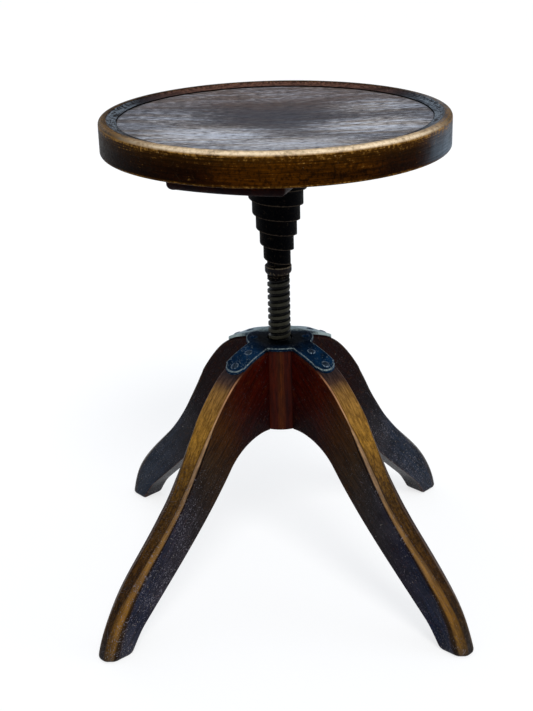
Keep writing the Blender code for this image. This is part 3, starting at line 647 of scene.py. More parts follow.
def round_toe(points):
    """Draws the last few millimetres above the floor in to the section's middle, by a quarter round."""
    low = np.clip(1 - points[..., 2] / TOE_ROUND, 0, 1)
    inset = TOE_ROUND * (1 - np.sqrt(1 - low**2))
    middle = points[..., :2].mean(axis=1, keepdims=True)
    way = points[..., :2] - middle
    length = np.linalg.norm(way, axis=-1, keepdims=True)
    moved = points.copy()
    moved[..., :2] -= way / length * inset[..., None]
    return moved


# %% [markdown]
# ## Leg finish
# The legs were stained a deep red brown and varnished. Between the legs the stain is still red.
# Further down it has turned dark and cool, the cool partly a painted sheen, with scratches and pale
# chips, and the outer face has worn to gold below the iron. The chamfers are the palest, since hands
# and shoes rub there most, and a painted highlight runs along them between painted shade at their
# corners. The sides are painted darker towards the underside as shade, and the back legs are
# painted darker as shade too.

# %% Leg finish


def face_share(zone, number):
    """1 on one face of the leg, falling to 0 over its rounded corners."""
    return (1.0 - abs(zone - number)).held()


def make_leg_finish():
    material, tree, shader = new_finish("stained leg wood", specular=0.03, tint="b4c4ea")
    place = field(tree, "board", "Vector")
    zone, along, rub, wear = [field(tree, name) for name in ("zone", "along", "rub", "wear")]
    near, front, deep = [field(tree, name) for name in ("near", "front", "deep")]
    grain = placed(grain_group, Place=place)
    clouds, mottle = placed(patina_group, Place=place).values()
    low = between(along, 0.28, 0.62)
    used = low * wear
    scuffs = placed(scuff_group, Place=place, Share=used)
    # The sides' stain: red brown between the legs, dark lower down; the cool blue grey near the foot is a
    # painted sheen.
    side = ramp(
        along, (0.0, "3c0e04"), (0.16, "42180a"), (0.26, "482a10"), (0.38, "3c2c1a"), (0.48, "2c2624"),
        (0.6, "282530"), (0.8, "182238"), (1.0, "242a3a"),
    )
    # The back legs: the same stain painted darker as shade, and cool lower down as a painted sheen.
    behind = ramp(
        along, (0.0, "260c02"), (0.3, "1e0a02"), (0.5, "1a181c"), (0.64, "1c2a3a"), (1.0, "22303e"),
    )
    outer = ramp(
        along, (0.0, "2a2628"), (0.14, "3a2e2c"), (0.165, "543e32"), (0.2, "966e3a"), (0.33, "a87a32"),
        (0.45, "7e5a26"), (0.62, "5a401c"), (0.8, "4a3216"), (0.93, "3c2c18"), (1.0, "3a3838"),
    )
    # Colours of the rubbed chamfer, pale partly as a painted highlight.
    chamfer = ramp(
        along, (0.0, "2a1a14"), (0.12, "4a2e20"), (0.17, "c08a62"), (0.3, "b89068"), (0.45, "98795c"),
        (0.6, "886844"), (0.75, "8a6430"), (0.9, "8c6226"), (0.97, "7a5824"), (1.0, "5c4c38"),
    )
    under = ramp(along, (0.0, "1c1416"), (1.0, "20242c"))
    # Painted shade: the sides darken towards the underside, most near the top, in the arch between the
    # legs.
    shaded = between(deep, 0.3, 1.0) * between(along, 0.55, 0.1)
    side = mixed(shaded * 0.75, side, "181416")
    outside = face_share(zone, 0.0)
    color = mixed(outside, mixed(front, behind, side), outer)
    color = mixed(face_share(zone, 3.0), color, under)
    # Dust on the lower sides; its lilac grey is also a painted sheen.
    dust = used * (clouds * 0.18 + 0.06) * between(zone, 1.1, 1.9)
    color = mixed(dust, color, "64606c")
    dark = mixed(1.0, color, "5a4a40", "MULTIPLY")
    color = grained(color, grain, dark, 0.6)
    grime = (outside * 0.4 + 0.15) * (low * 0.7 + 0.3) * between(mottle, 0.62, 0.25)
    color = mixed(grime, color, "17120e")
    # The chamfer is rubbed pale, most on the side towards the front; its pale middle is partly a painted
    # highlight.
    away = abs(zone - 1.0) - between(along, 0.55, 0.95) * 0.35
    chamfer_wear_and_highlight = between(away, 0.6, 0.2)
    rubbed = (near * front * 0.75 + 0.15) * (grain["Streaks"] * 0.5 + 0.6)
    color = mixed((chamfer_wear_and_highlight * rubbed).held(), color, chamfer)
    # Painted shade: dark lines along both corners of the chamfer.
    for corner, strength in ((0.5, 0.4), (1.6, 0.9)):
        painted_corner_shade = between(abs(zone - corner), 0.45, 0.12) * between(along, 0.24, 0.36)
        color = mixed(painted_corner_shade * strength, color, "160e08")
    bare = placed(rub_group, Edge=rub, Mottle=mottle, Ragged=1.8)["Bare"]
    lower_edge = bare * between(zone, 1.8, 2.2)
    color = mixed(lower_edge * 0.16, color, "8a5a30")
    marked = 0.52 - outside * 0.38
    color = mixed(scuffs["Specks"] * marked, color, "a49a8e")
    color = mixed(scuffs["Scratches"] * marked, color, "94909a")
    rough = mottle * 0.22 + 0.3
    surface(shader, color, rough, wood_height(grain, scuffs, mottle), 0.0003)
    feed(shader.inputs["Coat Weight"], clouds * (low * (0.12 - outside * 0.08)))
    shader.inputs["Coat Roughness"].default_value = 0.28
    return material


leg_finish = make_leg_finish()
for index, (side, azimuth) in enumerate(LEG_SIDES.items()):
    rings, marks = leg_surface(1.0 + 1.7 * index, LEG_WEAR[side], azimuth)
    add_piece(
        f"sawn_leg_{side}", turned_about(rings, azimuth), "cap", leg_finish,
        "base", "leg_wood", [f"leg_{side}"], **marks,
    )
print("legs:", len(LEG_SIDES), "of", rings.shape[0], "stations and", rings.shape[1], "points each")

# %% [markdown]
# ## Post
# The legs are dowelled to flats on a turned post. Its plan is a circle with four flats, so one
# function of the angle gives its radius, and the rest is a profile up the outside and down the bore.
# Its wood is red brown with broad upright bands.

# %% Post
POST_RADIUS = 0.0334
POST_FLAT = 0.03055
POST_BORE = 0.018
NUT_RECESS = 0.0234
NUT_RECESS_DEPTH = 0.0056
POST_FOOT_ROUND = 0.002
BAND_WIDTH = 0.0036
BAND_SHIFT = -0.6


def post_surface(bottom, top, steps=240):
    """Rings of the post. The plan's radius is that of the circle or of the nearest flat, flat / cos(a),
    whichever is less, where a is the angle from the middle of the flat."""
    angle = np.arange(steps) * math.tau / steps
    from_flat = np.mod(angle, math.tau / 4) - math.tau / 8
    plan = np.minimum(POST_RADIUS, POST_FLAT / np.cos(from_flat))
    foot = arc((-POST_FOOT_ROUND, bottom + POST_FOOT_ROUND), POST_FOOT_ROUND, -90, 0, 6)
    floor = top - NUT_RECESS_DEPTH
    rows = [(plan + inset, height) for inset, height in foot] + [(plan, top)]
    rows += [(NUT_RECESS, top), (NUT_RECESS, floor), (POST_BORE, floor), (POST_BORE, bottom)]
    return np.stack([around(radius, angle, height) for radius, height in rows])


def make_post_finish():
    material, tree, shader = new_finish("red post wood", specular=0.08, tint="d8dcec")
    spot = here(tree)
    turn = wire(tree, "Mapping", {"Vector": spot, "Rotation": (0, math.radians(90), 0)})
    grain = placed(grain_group, Place=turn)
    clouds, mottle = placed(patina_group, Place=spot).values()
    scuffs = placed(scuff_group, Place=spot, Share=0.1)
    color = mixed(grain["Figure"], "180401", "4a1a08")
    across = grain["Figure"] * 0.003 + parts(spot)[0]
    bands = (across * (1 / BAND_WIDTH) + BAND_SHIFT).cosine()
    color = mixed(between(bands, 0.2, 1.0) * 0.65, color, "5e3010")
    color = grained(color, grain, "160502", 0.6)
    color = mixed(clouds * 0.35, color, "2a100a")
    color = mixed(scuffs["Specks"] * 0.5, color, "9a8a78")
    rough = mottle * 0.2 + 0.3
    surface(shader, color, rough, wood_height(grain, scuffs, mottle), 0.0002)
    return material


post_low, post_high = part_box("hub_post")
rings = post_surface(post_low.z, post_high.z)
add_piece("turned_post", rings, "loop", make_post_finish(), "base", "post_wood", ["hub_post"])
print("post:", rings.shape[0], "rings")

# %% [markdown]
# ## Iron plate
# One sheet of iron ties the stand together: a round hub with four arms bent down over the legs, each
# with small shoulders and a round tongue. Its plan is worked out as one closed outline. Rings drawn
# in from the outline to the bore give the sheet, and the leg's own curve gives its height, so that
# the arms lie on the legs. The outer edge is rounded and rubbed bright.
# The back of the plate is painted pale as a sheen, and the hub is painted dark about the screw, as old
# grease and a painted shadow.

# %% Plate shape
PLATE_RADIUS = 0.0354
PLATE_THICKNESS = 0.0035
PLATE_BORE = 0.0133
ARM_SHOULDER = 0.0656
ARM_TIP = 0.0725
TONGUE_STEP = 0.0018
PLATE_EDGE_ROUND = 0.0010
PLATE_STEPS = 960
PLATE_FOOT_EASE = 0.0003
UNDER_INSET = 0.0012
TOP_INSET = 0.0014
CORNER_RUB = 0.5
EDGE_RUB = 0.25
BACK_SHEEN = 0.95
BACK_START = 0.004
BACK_SPAN = 0.026
SHADE_AND_GREASE_REACH = 0.043
SHADE_AND_GREASE_SPAN = 0.020


def leg_top(out):
    """Height of the leg's top edge at a distance from the axis, and of the post nearer in."""
    edge = pattern_edge(LEG_TOP_EDGE, np.linspace(0, 1, 400), SHOULDER_DROP)
    return np.interp(out, edge[:, 0], edge[:, 1])


def plate_outline():
    """Plan of the plate: on each arm a side, a shoulder, a round tongue and a side, then the hub."""
    half = LEG_THICKNESS / 2
    tongue = half - TONGUE_STEP
    half_angle = math.degrees(math.asin(half / PLATE_RADIUS))
    bow = np.radians(np.linspace(-90, 90, 40))
    tip = np.stack([ARM_SHOULDER + (ARM_TIP - ARM_SHOULDER) * np.cos(bow), tongue * np.sin(bow)], axis=-1)
    root = PLATE_RADIUS * math.cos(math.radians(half_angle))
    hub = arc((0, 0), PLATE_RADIUS, half_angle, 90 - half_angle, 24)
    arm = np.concatenate([[(root, -half), (ARM_SHOULDER, -half)], tip, [(ARM_SHOULDER, half)], hub])
    turns = [turned_about(raised(arm, 0), azimuth)[:, :2] for azimuth in LEG_SIDES.values()]
    return evened(np.concatenate(turns), PLATE_STEPS)


def plate_surface():
    """Rings of the plate from the bore underneath, round the edge and back to the bore on top.

    Each point is marked by how rubbed it is at the edges, and by a painted sheen that grows towards
    the back; and by how dark it is about the screw, which is old grease and a painted shadow.
    """
    outline = plate_outline()
    bore = around(PLATE_BORE, np.arctan2(outline[:, 1], outline[:, 0]), 0)[:, :2]
    shares = np.linspace(0, 1, 26)
    flat = [0.0] * len(shares)
    rounding = arc((-PLATE_EDGE_ROUND, -PLATE_EDGE_ROUND), PLATE_EDGE_ROUND, 0, 90, 7)
    edge = [(PLATE_FOOT_EASE, 0.0), (0.0, PLATE_FOOT_EASE)]
    edge += [(-inset, PLATE_THICKNESS + height) for inset, height in rounding]
    corner = PLATE_THICKNESS - 0.8 * PLATE_EDGE_ROUND
    plan = [bore + (drawn_in(outline, UNDER_INSET) - bore) * share for share in shares]
    plan += [drawn_in(outline, inset) for inset, _ in edge]
    plan += [bore + (drawn_in(outline, TOP_INSET) - bore) * share for share in shares[::-1]]
    lift = flat + [height for _, height in edge] + [PLATE_THICKNESS] * len(shares)
    mark = flat + [CORNER_RUB if height > corner else EDGE_RUB for _, height in edge] + flat
    plan, lift = np.stack(plan), np.array(lift)
    radius = np.linalg.norm(plan, axis=-1)
    behind = np.clip((plan[..., 1] - BACK_START) / BACK_SPAN, 0, 1)
    # The rub mark also carries a painted sheen on the back of the plate.
    rub = np.maximum(np.array(mark)[:, None], BACK_SHEEN * behind)
    turn = np.mod(np.arctan2(plan[..., 1], plan[..., 0]), math.tau / 4) - math.tau / 8
    height = leg_top(radius * np.cos(turn)) + FIT + lift[:, None]
    points = np.concatenate([plan, height[..., None]], axis=-1)
    # Painted shadow about the screw, with old grease: darkest in the middle, less at the back.
    grime = np.clip((SHADE_AND_GREASE_REACH - radius) / SHADE_AND_GREASE_SPAN, 0, 1) * (1 - 0.5 * behind)
    return points, rub, grime


# %% [markdown]
# ## Iron and steel
# The iron was blued: a thin dark oxide that mirrors the sky, and that wears back to bright metal at
# the edges. The collar, the spring and the small screws are darker, with a little brown rust. One
# recipe with different colours serves all of them. Only the lifting screw has a finish of its own.

# %% Metal finish


def make_metal(name, dark, light, bright, rust, metallic, rough, tint, ragged, specular, greasy=False):
    """Metal: clouds from dark to light, patches of rust, old grease, and bright metal at rubbed edges.

    Where the mesh marks a point dark, it is old grease and a painted shadow.
    """
    material, tree, shader = new_finish(name, specular=specular, tint=tint, metallic=metallic)
    spot = here(tree)
    clouds, mottle = placed(patina_group, Place=stretched(spot, 1.6, 1.6, 1.6)).values()
    scuffs = placed(scuff_group, Place=spot, Share=0.4)
    color = mixed(clouds, dark, light)
    color = mixed(mottle * 0.5, color, dark)
    rusty = between(noise(spot, 75.0, 3.0, 0.6), 0.55, 0.75)
    color = mixed(rusty * 0.7, color, rust)
    # Old grease, and on the plate a painted shadow about the screw.
    grime = field(tree, "grime")
    color = mixed(grime, color, "020306")
    flecks = between(noise(spot, 380.0, 3.0, 0.7), 0.54, 0.66)
    color = mixed(flecks * (grime * 0.2), color, "2c3a44")
    bare = placed(rub_group, Edge=field(tree, "rub"), Mottle=mottle, Ragged=ragged)["Bare"]
    color = mixed(bare * 0.8, color, bright)
    marks = (scuffs["Scratches"] + scuffs["Specks"]).held()
    color = mixed(marks * (0.35 - grime * 0.3), color, bright)
    surface(shader, color, mottle * 0.25 + rough, mottle * 0.8 - marks, 0.00015)
    if greasy:
        feed(shader.inputs["Metallic"], metallic - grime * metallic)
    return material


# Dark, light, bright and rust colours, metallic, roughness, tint, raggedness, specular, greasy or not.
METALS = {
    "blued iron": ("040e18", "12324e", "b6c6c2", "0c1216", 0.3, 0.38, "b8d0ff", 0.25, 0.015, True),
    "dark iron": ("080605", "1c120a", "786a56", "28160a", 0.2, 0.42, "c8d4f0", 1.2, 0.1),
    "screw steel": ("141e28", "34424e", "74828c", "1c1a1a", 0.5, 0.34, "c8d8ff", 1.2, 0.25),
    "spring steel": ("020202", "080504", "4c4238", "100804", 0.0, 0.45, "b8ccf8", 1.3, 0.02),
}
metals = [make_metal(name, *look) for name, look in METALS.items()]
blued_iron, dark_iron, screw_steel, spring_finish = metals

points, marks, grime = plate_surface()
add_piece(
    "bent_iron_plate", points, "loop", blued_iron,
    "base", "iron", ["spider_plate"], rub=marks, grime=grime,
)
print("plate:", points.shape[0] * points.shape[1], "points")

# %% [markdown]
# ## Slotted screws
# A screw head is a low dome with a straight slot. A grid of chords keeps the slot's walls straight:
# one parameter picks the chord across the head, the other the place along it. Below the head the
# same rim points carry a turned profile down to the point.

# %% Screws
SLOT_HALF = 0.00055
SLOT_DEPTH = 0.0009
SCREW_RADIUS = 0.002
HEAD_RADIUS = 0.0043
HEAD_HEIGHT = 0.0016
DOME_DROP = 0.62
SLOT_FLOOR = 0.22


def slotted_screw(length, radius, head, height):
    """Points and faces of a screw with its head's underside at the origin and its point down.

    On the head a point is (u w, v) where w is half the chord at v: sqrt(head^2 - v^2). The dome's
    height falls with the cube of the distance from the middle, and the slot is cut out of it.
    """
    wall = np.array([SLOT_HALF * 0.92, SLOT_HALF * 1.08])
    lines = np.concatenate([wall[::-1] * -1, wall])
    swing = np.sin(np.linspace(-np.pi / 2, np.pi / 2, 25)) * head
    clear = swing[np.abs(swing) > SLOT_HALF * 1.5]
    v = np.sort(np.concatenate([clear, lines, [0.0]]))
    u = np.sin(np.linspace(-np.pi / 2, np.pi / 2, 21))
    chord = np.sqrt(np.maximum(head**2 - v**2, 0.0))
    x, y = np.meshgrid(u, v)
    x = x * chord[:, None]
    share = (x**2 + y**2) / head**2
    dome = height * (1 - DOME_DROP * share**1.5)
    slot = np.where(np.abs(y) < SLOT_HALF, SLOT_DEPTH, 0.0)
    floor = np.maximum(dome - slot, height * SLOT_FLOOR)
    top = np.stack([x, y, floor], axis=-1)
    rows, columns = x.shape
    index = np.arange(rows * columns).reshape(rows, columns)
    faces = np.stack([index[:-1, :-1], index[:-1, 1:], index[1:, 1:], index[1:, :-1]], axis=-1)
    faces = faces.reshape(-1, 4)
    rim = np.concatenate([index[:, -1], index[::-1, 0]])
    circle = top.reshape(-1, 3)[rim, :2] / head
    below = [(head, 0.0), (radius, -0.0002), (radius, 2 * radius - length), (0.0003, -length)]
    skirt = np.stack([raised(circle * reach, depth) for reach, depth in below])
    points = np.concatenate([top.reshape(-1, 3), skirt.reshape(-1, 3)])
    count = len(rim)
    rings = np.concatenate([rim[None], rows * columns + np.arange(len(below) * count).reshape(-1, count)])
    beside = np.roll(rings, -1, axis=1)
    walls = np.stack([rings[1:], beside[1:], beside[:-1], rings[:-1]], axis=-1).reshape(-1, 4)
    faces = np.concatenate([faces, walls]).tolist()
    faces.append(rings[-1].tolist())
    edge = np.clip(1.6 * share - 0.5, 0, 1).ravel()
    return points, faces, np.concatenate([edge, np.zeros(len(points) - rows * columns)])


def set_screw(node, body, seat, along, slot_turn, length, finish=screw_steel, shine=0.8):
    """Turns a screw's slot, tips its head to face along, and sets it at its seat."""
    points, faces, rub = slotted_screw(length, SCREW_RADIUS, HEAD_RADIUS, HEAD_HEIGHT)
    points = turned_about(points, slot_turn)
    tip = np.array(Vector(along).to_track_quat("Z", "Y").to_matrix())
    points = points @ tip.T + np.array(seat)
    add_piece(f"slotted_{node}", points, faces, finish, body, "steel", [node], rub=shine * rub)


ARM_SCREWS_OUT = {"inner": 0.046, "outer": 0.066}
ARM_SCREW_LENGTH = 0.019
HUB_SCREW_LENGTH = 0.024
HUB_SCREW_SHINE = 0.42
SCREW_SINK = 0.0009
slot_turns = iter((20, 75, 130, 10, 35, 118, 60, 150, 100, 25, 80, 5, 140, 55, 95, 165, 30, 70))
for side, azimuth in LEG_SIDES.items():
    for level, out in ARM_SCREWS_OUT.items():
        slope = (leg_top(out + 0.001) - leg_top(out - 0.001)) / 0.002
        along = np.array([-slope, 0, 1]) / math.hypot(slope, 1)
        seat = np.array([out, 0, leg_top(out) + FIT + PLATE_THICKNESS]) + along * FIT
        seat, along = turned_about(np.stack([seat - along * SCREW_SINK, along]), azimuth)
        set_screw(f"arm_screw_{side}_{level}", "base", seat, along, next(slot_turns), ARM_SCREW_LENGTH)
for name in ("hub_screw_1", "hub_screw_2"):
    low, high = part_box(name)
    middle = (low + high) / 2
    seat = (middle.x, middle.y, high.z - HEAD_HEIGHT - SCREW_SINK)
    length = HUB_SCREW_LENGTH - SCREW_SINK
    set_screw(name, "base", seat, (0, 0, 1), next(slot_turns), length, blued_iron, HUB_SCREW_SHINE)
for name in [f"{kind}_screw_{number}" for kind in ("guide", "bearer") for number in (1, 2, 3, 4)]:
    low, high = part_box(name)
    middle = (low + high) / 2
    seat = (middle.x, middle.y, low.z + HEAD_HEIGHT)
    set_screw(name, "seat", seat, (0, 0, -1), next(slot_turns), high.z - low.z - HEAD_HEIGHT)
print("screws: 18")

# %% [markdown]
# ## Lifting screw
# The screw has a coarse right-hand thread with rounded crests. The radius at any height and angle
# depends only on how far the point is along the helix, so the whole bar is one function on a grid
# of heights and angles. The crests are polished and the grooves are full of old grease.

# %% Lifting screw
THREAD_PITCH = 0.0072
THREAD_DEPTH = 0.0019
SHANK_RADIUS = 0.007
RELIEF_RADIUS = 0.0089
THREAD_STEP = 0.0003
SHANK_EASE = 0.0005
SHANK_MARK = 0.4


def screw_surface(bottom, thread_top, shoulder, top, crest, steps=72):
    """Rings of the lifting screw, and how near each point is to the crest.

    With s the share of a pitch, from height / pitch - angle / turn, the thread rises from its root by
    depth times a smooth step up from s = 0.2 to 0.42 and down again from 0.8 to 1.
    """
    angle = np.arange(steps) * math.tau / steps
    threaded = np.arange(bottom, thread_top, THREAD_STEP)
    plain = np.array([thread_top, thread_top + 1e-5, shoulder - 1e-5, shoulder, top - SHANK_EASE, top])
    height = np.concatenate([threaded, plain])[:, None]
    s = np.mod((height - bottom) / THREAD_PITCH - angle / math.tau, 1.0)
    rise = np.clip((s - 0.2) / 0.22, 0, 1)
    fall = np.clip((1.0 - s) / 0.2, 0, 1)
    ridge = (rise**2 * (3 - 2 * rise)) * (fall**2 * (3 - 2 * fall))
    root = crest - THREAD_DEPTH
    envelope = np.minimum((height - bottom) + root, (thread_top - height) * 2 + root)
    radius = np.minimum(root + THREAD_DEPTH * ridge, np.maximum(envelope, root))
    sizes = [root, RELIEF_RADIUS, RELIEF_RADIUS, SHANK_RADIUS, SHANK_RADIUS, SHANK_RADIUS - 0.0004]
    radius[len(threaded):] = np.array(sizes)[:, None]
    ridge = np.where(height < thread_top, ridge, SHANK_MARK)
    return around(radius, angle, height), ridge


def make_thread_finish():
    material, tree, shader = new_finish("greasy thread steel", specular=0.1, tint="d8dce4", metallic=0.15)
    spot = here(tree)
    crest = field(tree, "crest")
    clouds, mottle = placed(patina_group, Place=stretched(spot, 2, 2, 2)).values()
    scuffs = placed(scuff_group, Place=stretched(spot, 1.5, 1.5, 1.5), Share=0.5)
    color = mixed(between(crest, 0.5, 1.0), "020201", "3c3a30")
    color = mixed(clouds * 0.6, color, "12110e")
    color = mixed(scuffs["Scratches"] * 0.4, color, "706a60")
    rough = mottle * 0.25 + 0.3
    surface(shader, color, rough, mottle, 0.0001)
    return material


bar_low, bar_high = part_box("spindle")
washer_low, washer_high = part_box("thrust_washer")
collar_low, collar_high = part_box("spring_collar")
points, crests = screw_surface(bar_low.z, washer_low.z - FIT, collar_low.z - FIT, bar_high.z, bar_high.x)
add_piece(
    "threaded_lifting_screw", points, "cap", make_thread_finish(),
    "screw", "steel", ["spindle"], crest=crests,
)
print("thread:", round((washer_low.z - bar_low.z) / THREAD_PITCH, 1), "turns")

# %% [markdown]
# ## Collar and washer
# A turned collar sits on the screw's shoulder and carries the spring. Below it lies a thin washer.
# Both are profiles with eased corners, turned about the axis.

# %% Collar and washer
COLLAR_TAPER = (0.0032, 0.0034)


def turned_ring(name, corners, reach, rubs, material, body, slot, node):
    """A closed profile with rounded corners, turned about Z. Each corner has its reach and its rub."""
    rings = turned(eased(corners, np.array(reach), 0.0006), 96)
    rub = np.outer(rubs, CORNER_MARKS).reshape(-1, 1)
    add_piece(name, rings, "loop", material, body, slot, [node], rub=rub)


collar_bore = SHANK_RADIUS + FIT
collar_radius = collar_high.x
turned_ring(
    "turned_collar",
    [
        (collar_bore, collar_low.z), (collar_radius - COLLAR_TAPER[0], collar_low.z),
        (collar_radius, collar_low.z + COLLAR_TAPER[1]), (collar_radius, collar_high.z),
        (collar_bore, collar_high.z),
    ],
    [0.0003, 0.0016, 0.0016, 0.0009, 0.0003], [0, 0.2, 0.35, 0.85, 0.2],
    dark_iron, "screw", "iron", "spring_collar",
)
turned_ring(
    "turned_thrust_washer",
    [
        (RELIEF_RADIUS + FIT, washer_low.z), (washer_high.x, washer_low.z),
        (washer_high.x, washer_high.z), (RELIEF_RADIUS + FIT, washer_high.z),
    ],
    [0.0002, 0.0009, 0.0009, 0.0002], [0, 0.3, 0.6, 0],
    spring_finish, "lift", "steel", "thrust_washer",
)
print("collar radius", round(collar_radius * 1000, 1), "mm")

# %% [markdown]
# ## Volute spring
# A volute spring is a flat strip wound like a rolled-up sheet and then drawn out, so that each turn
# telescopes into the next. The section is a thin rectangle with eased corners; the path is a spiral
# whose radius and height both grow with the angle. It shortens when someone sits down.

# %% Volute spring
SPRING_TURNS = 6.66
SPRING_SMALL_RADIUS = 0.0107
SPRING_GROWTH = 0.0035
STRIP_WIDTH = 0.0215
STRIP_THICKNESS = 0.0026
SPRING_START = math.radians(248)
STRIP_EASE = 0.0006
STRIP_RUN = 0.0009


def spring_surface(bottom, top, steps_per_turn=96):
    """Rings of the strip. At turn n the angle is start - 2 pi n, the outer radius is small + growth n,
    and the strip's middle climbs evenly. Its edges are ground level with both ends."""
    turn = np.linspace(0, SPRING_TURNS, round(SPRING_TURNS * steps_per_turn))
    angle = SPRING_START - math.tau * turn
    outer = SPRING_SMALL_RADIUS + SPRING_GROWTH * turn
    inner = outer - STRIP_THICKNESS
    middle = bottom + (top - bottom) * turn / SPRING_TURNS
    low = np.maximum(bottom, middle - STRIP_WIDTH / 2)
    high = np.minimum(top, middle + STRIP_WIDTH / 2)
    corners = sections((outer, low), (outer, high), (inner, high), (inner, low))
    section = eased(corners, STRIP_EASE, STRIP_RUN)
    return around(section[..., 0], angle[:, None], section[..., 1]), np.tile(CORNER_MARKS, 4)


spring_low, spring_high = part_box("volute_spring")
points, marks = spring_surface(spring_low.z, spring_high.z)
spring = add_piece(
    "wound_volute_spring", points, "cap", spring_finish,
    "screw", "spring_steel", ["volute_spring"], rub=marks,
)
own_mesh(spring)

# %% [markdown]
# ## Bearer board
# A board across the seat's grain carries the panel. Its ends follow the hoop in a slight curve and its
# lower edge is rounded over. The plan is drawn in along its normals for the round, as on the plate.

# %% Bearer
BEARER_AZIMUTH = 251
BEARER_WIDTH = 0.115
BEARER_CORNER = 0.14286
BEARER_END_ROUND = 0.006
BEARER_EDGE_ROUND = 0.006
BEARER_BORE = 0.009
BEARER_RUN = 0.002
BEARER_TOP_EASE = 0.0006


def bearer_plan(steps=400):
    """Plan of the board along +X: straight sides, and ends whose middle stands out by a parabola."""
    across = np.linspace(-1, 1, 60)
    half = BEARER_WIDTH / 2
    end = np.stack([BEARER_CORNER + BEARER_END_ROUND * (1 - across**2), across * half], axis=-1)
    return evened(np.concatenate([end, -end]), steps)


def bearer_surface(bottom, top):
    """Rings from the bore underneath, round the lower edge, up the side and back to the bore."""
    outline = bearer_plan()
    bore = around(BEARER_BORE, np.arctan2(outline[:, 1], outline[:, 0]), 0)[:, :2]
    rows = [(bore, bottom, 0.0), (drawn_in(outline, BEARER_EDGE_ROUND + BEARER_RUN), bottom, 0.0)]
    for out, height in arc((0, bottom + BEARER_EDGE_ROUND), BEARER_EDGE_ROUND, -90, 0, 9):
        rows.append((drawn_in(outline, BEARER_EDGE_ROUND - out), height, 1.0))
    rows.append((outline, bottom + BEARER_EDGE_ROUND + BEARER_RUN, 0.0))
    rows.append((outline, top - BEARER_TOP_EASE, 0.0))
    rows.append((drawn_in(outline, BEARER_TOP_EASE), top, 0.6))
    rows.append((bore, top, 0.0))
    points = np.stack([raised(plan, height) for plan, height, _ in rows])
    return points, np.array([mark for _, _, mark in rows])[:, None]


def make_bearer_finish():
    """Plain stained board: figure from brown to a lighter brown, dirt, and rounded edges greyed as a
    painted cool reflection.
    """
    material, tree, shader = new_finish("bearer wood", specular=0.025, tint="b8c8e8")
    place = field(tree, "board", "Vector")
    grain = placed(grain_group, Place=place)
    mottle = placed(patina_group, Place=place)["Mottle"]
    scuffs = placed(scuff_group, Place=place, Share=0.3)
    color = mixed(grain["Figure"], "220e06", "38190b")
    dark = mixed(1.0, color, "706458", "MULTIPLY")
    color = grained(color, grain, dark)
    bare = placed(rub_group, Edge=field(tree, "rub"), Mottle=mottle, Ragged=1.0)["Bare"]
    # Painted reflection: the rounded edges greyed cool.
    color = mixed(bare * 0.5, color, "201c1e")
    color = mixed(scuffs["Specks"] * 0.4, color, "8a7c6c")
    rough = mottle * 0.2 + 0.4
    surface(shader, color, rough, wood_height(grain, scuffs, mottle), 0.00025)
    return material


bearer_low, bearer_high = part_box("bearer_board")
points, marks = bearer_surface(bearer_low.z, bearer_high.z)
add_piece(
    "rounded_bearer", turned_about(points, BEARER_AZIMUTH), "loop", make_bearer_finish(),
    "seat", "bearer_wood", ["bearer_board"], rub=marks, board=points,
)
print("bearer:", points.shape[0], "rings")

# %% [markdown]
# ## Seat hoop
# The seat's rim is a strip of wood bent into a hoop. Its profile has a small round at the foot, a
# tall face, a broad round at the top, and a hollow that leads down to the panel. Turning it about
# the axis gives the piece, and each row of the profile says how much it is rubbed.

# %% Hoop
HOOP_WALL = 0.016
RIM_ROUND = 0.0045
RIM_RISE = 0.0045
RIM_STEP = 0.0012
RIM_BAND_SHARE = 0.44
LIP_COVER = 0.0058
RUB_FADE = 0.0055
FOOT_ROUND = 0.002
FACE_RUN = (0.003, 0.0008)
BEAD_ROUND = 0.0009
LIP_EASE = 0.0008
LAND_ROUND = 0.0005
INNER_EASE = 0.0006


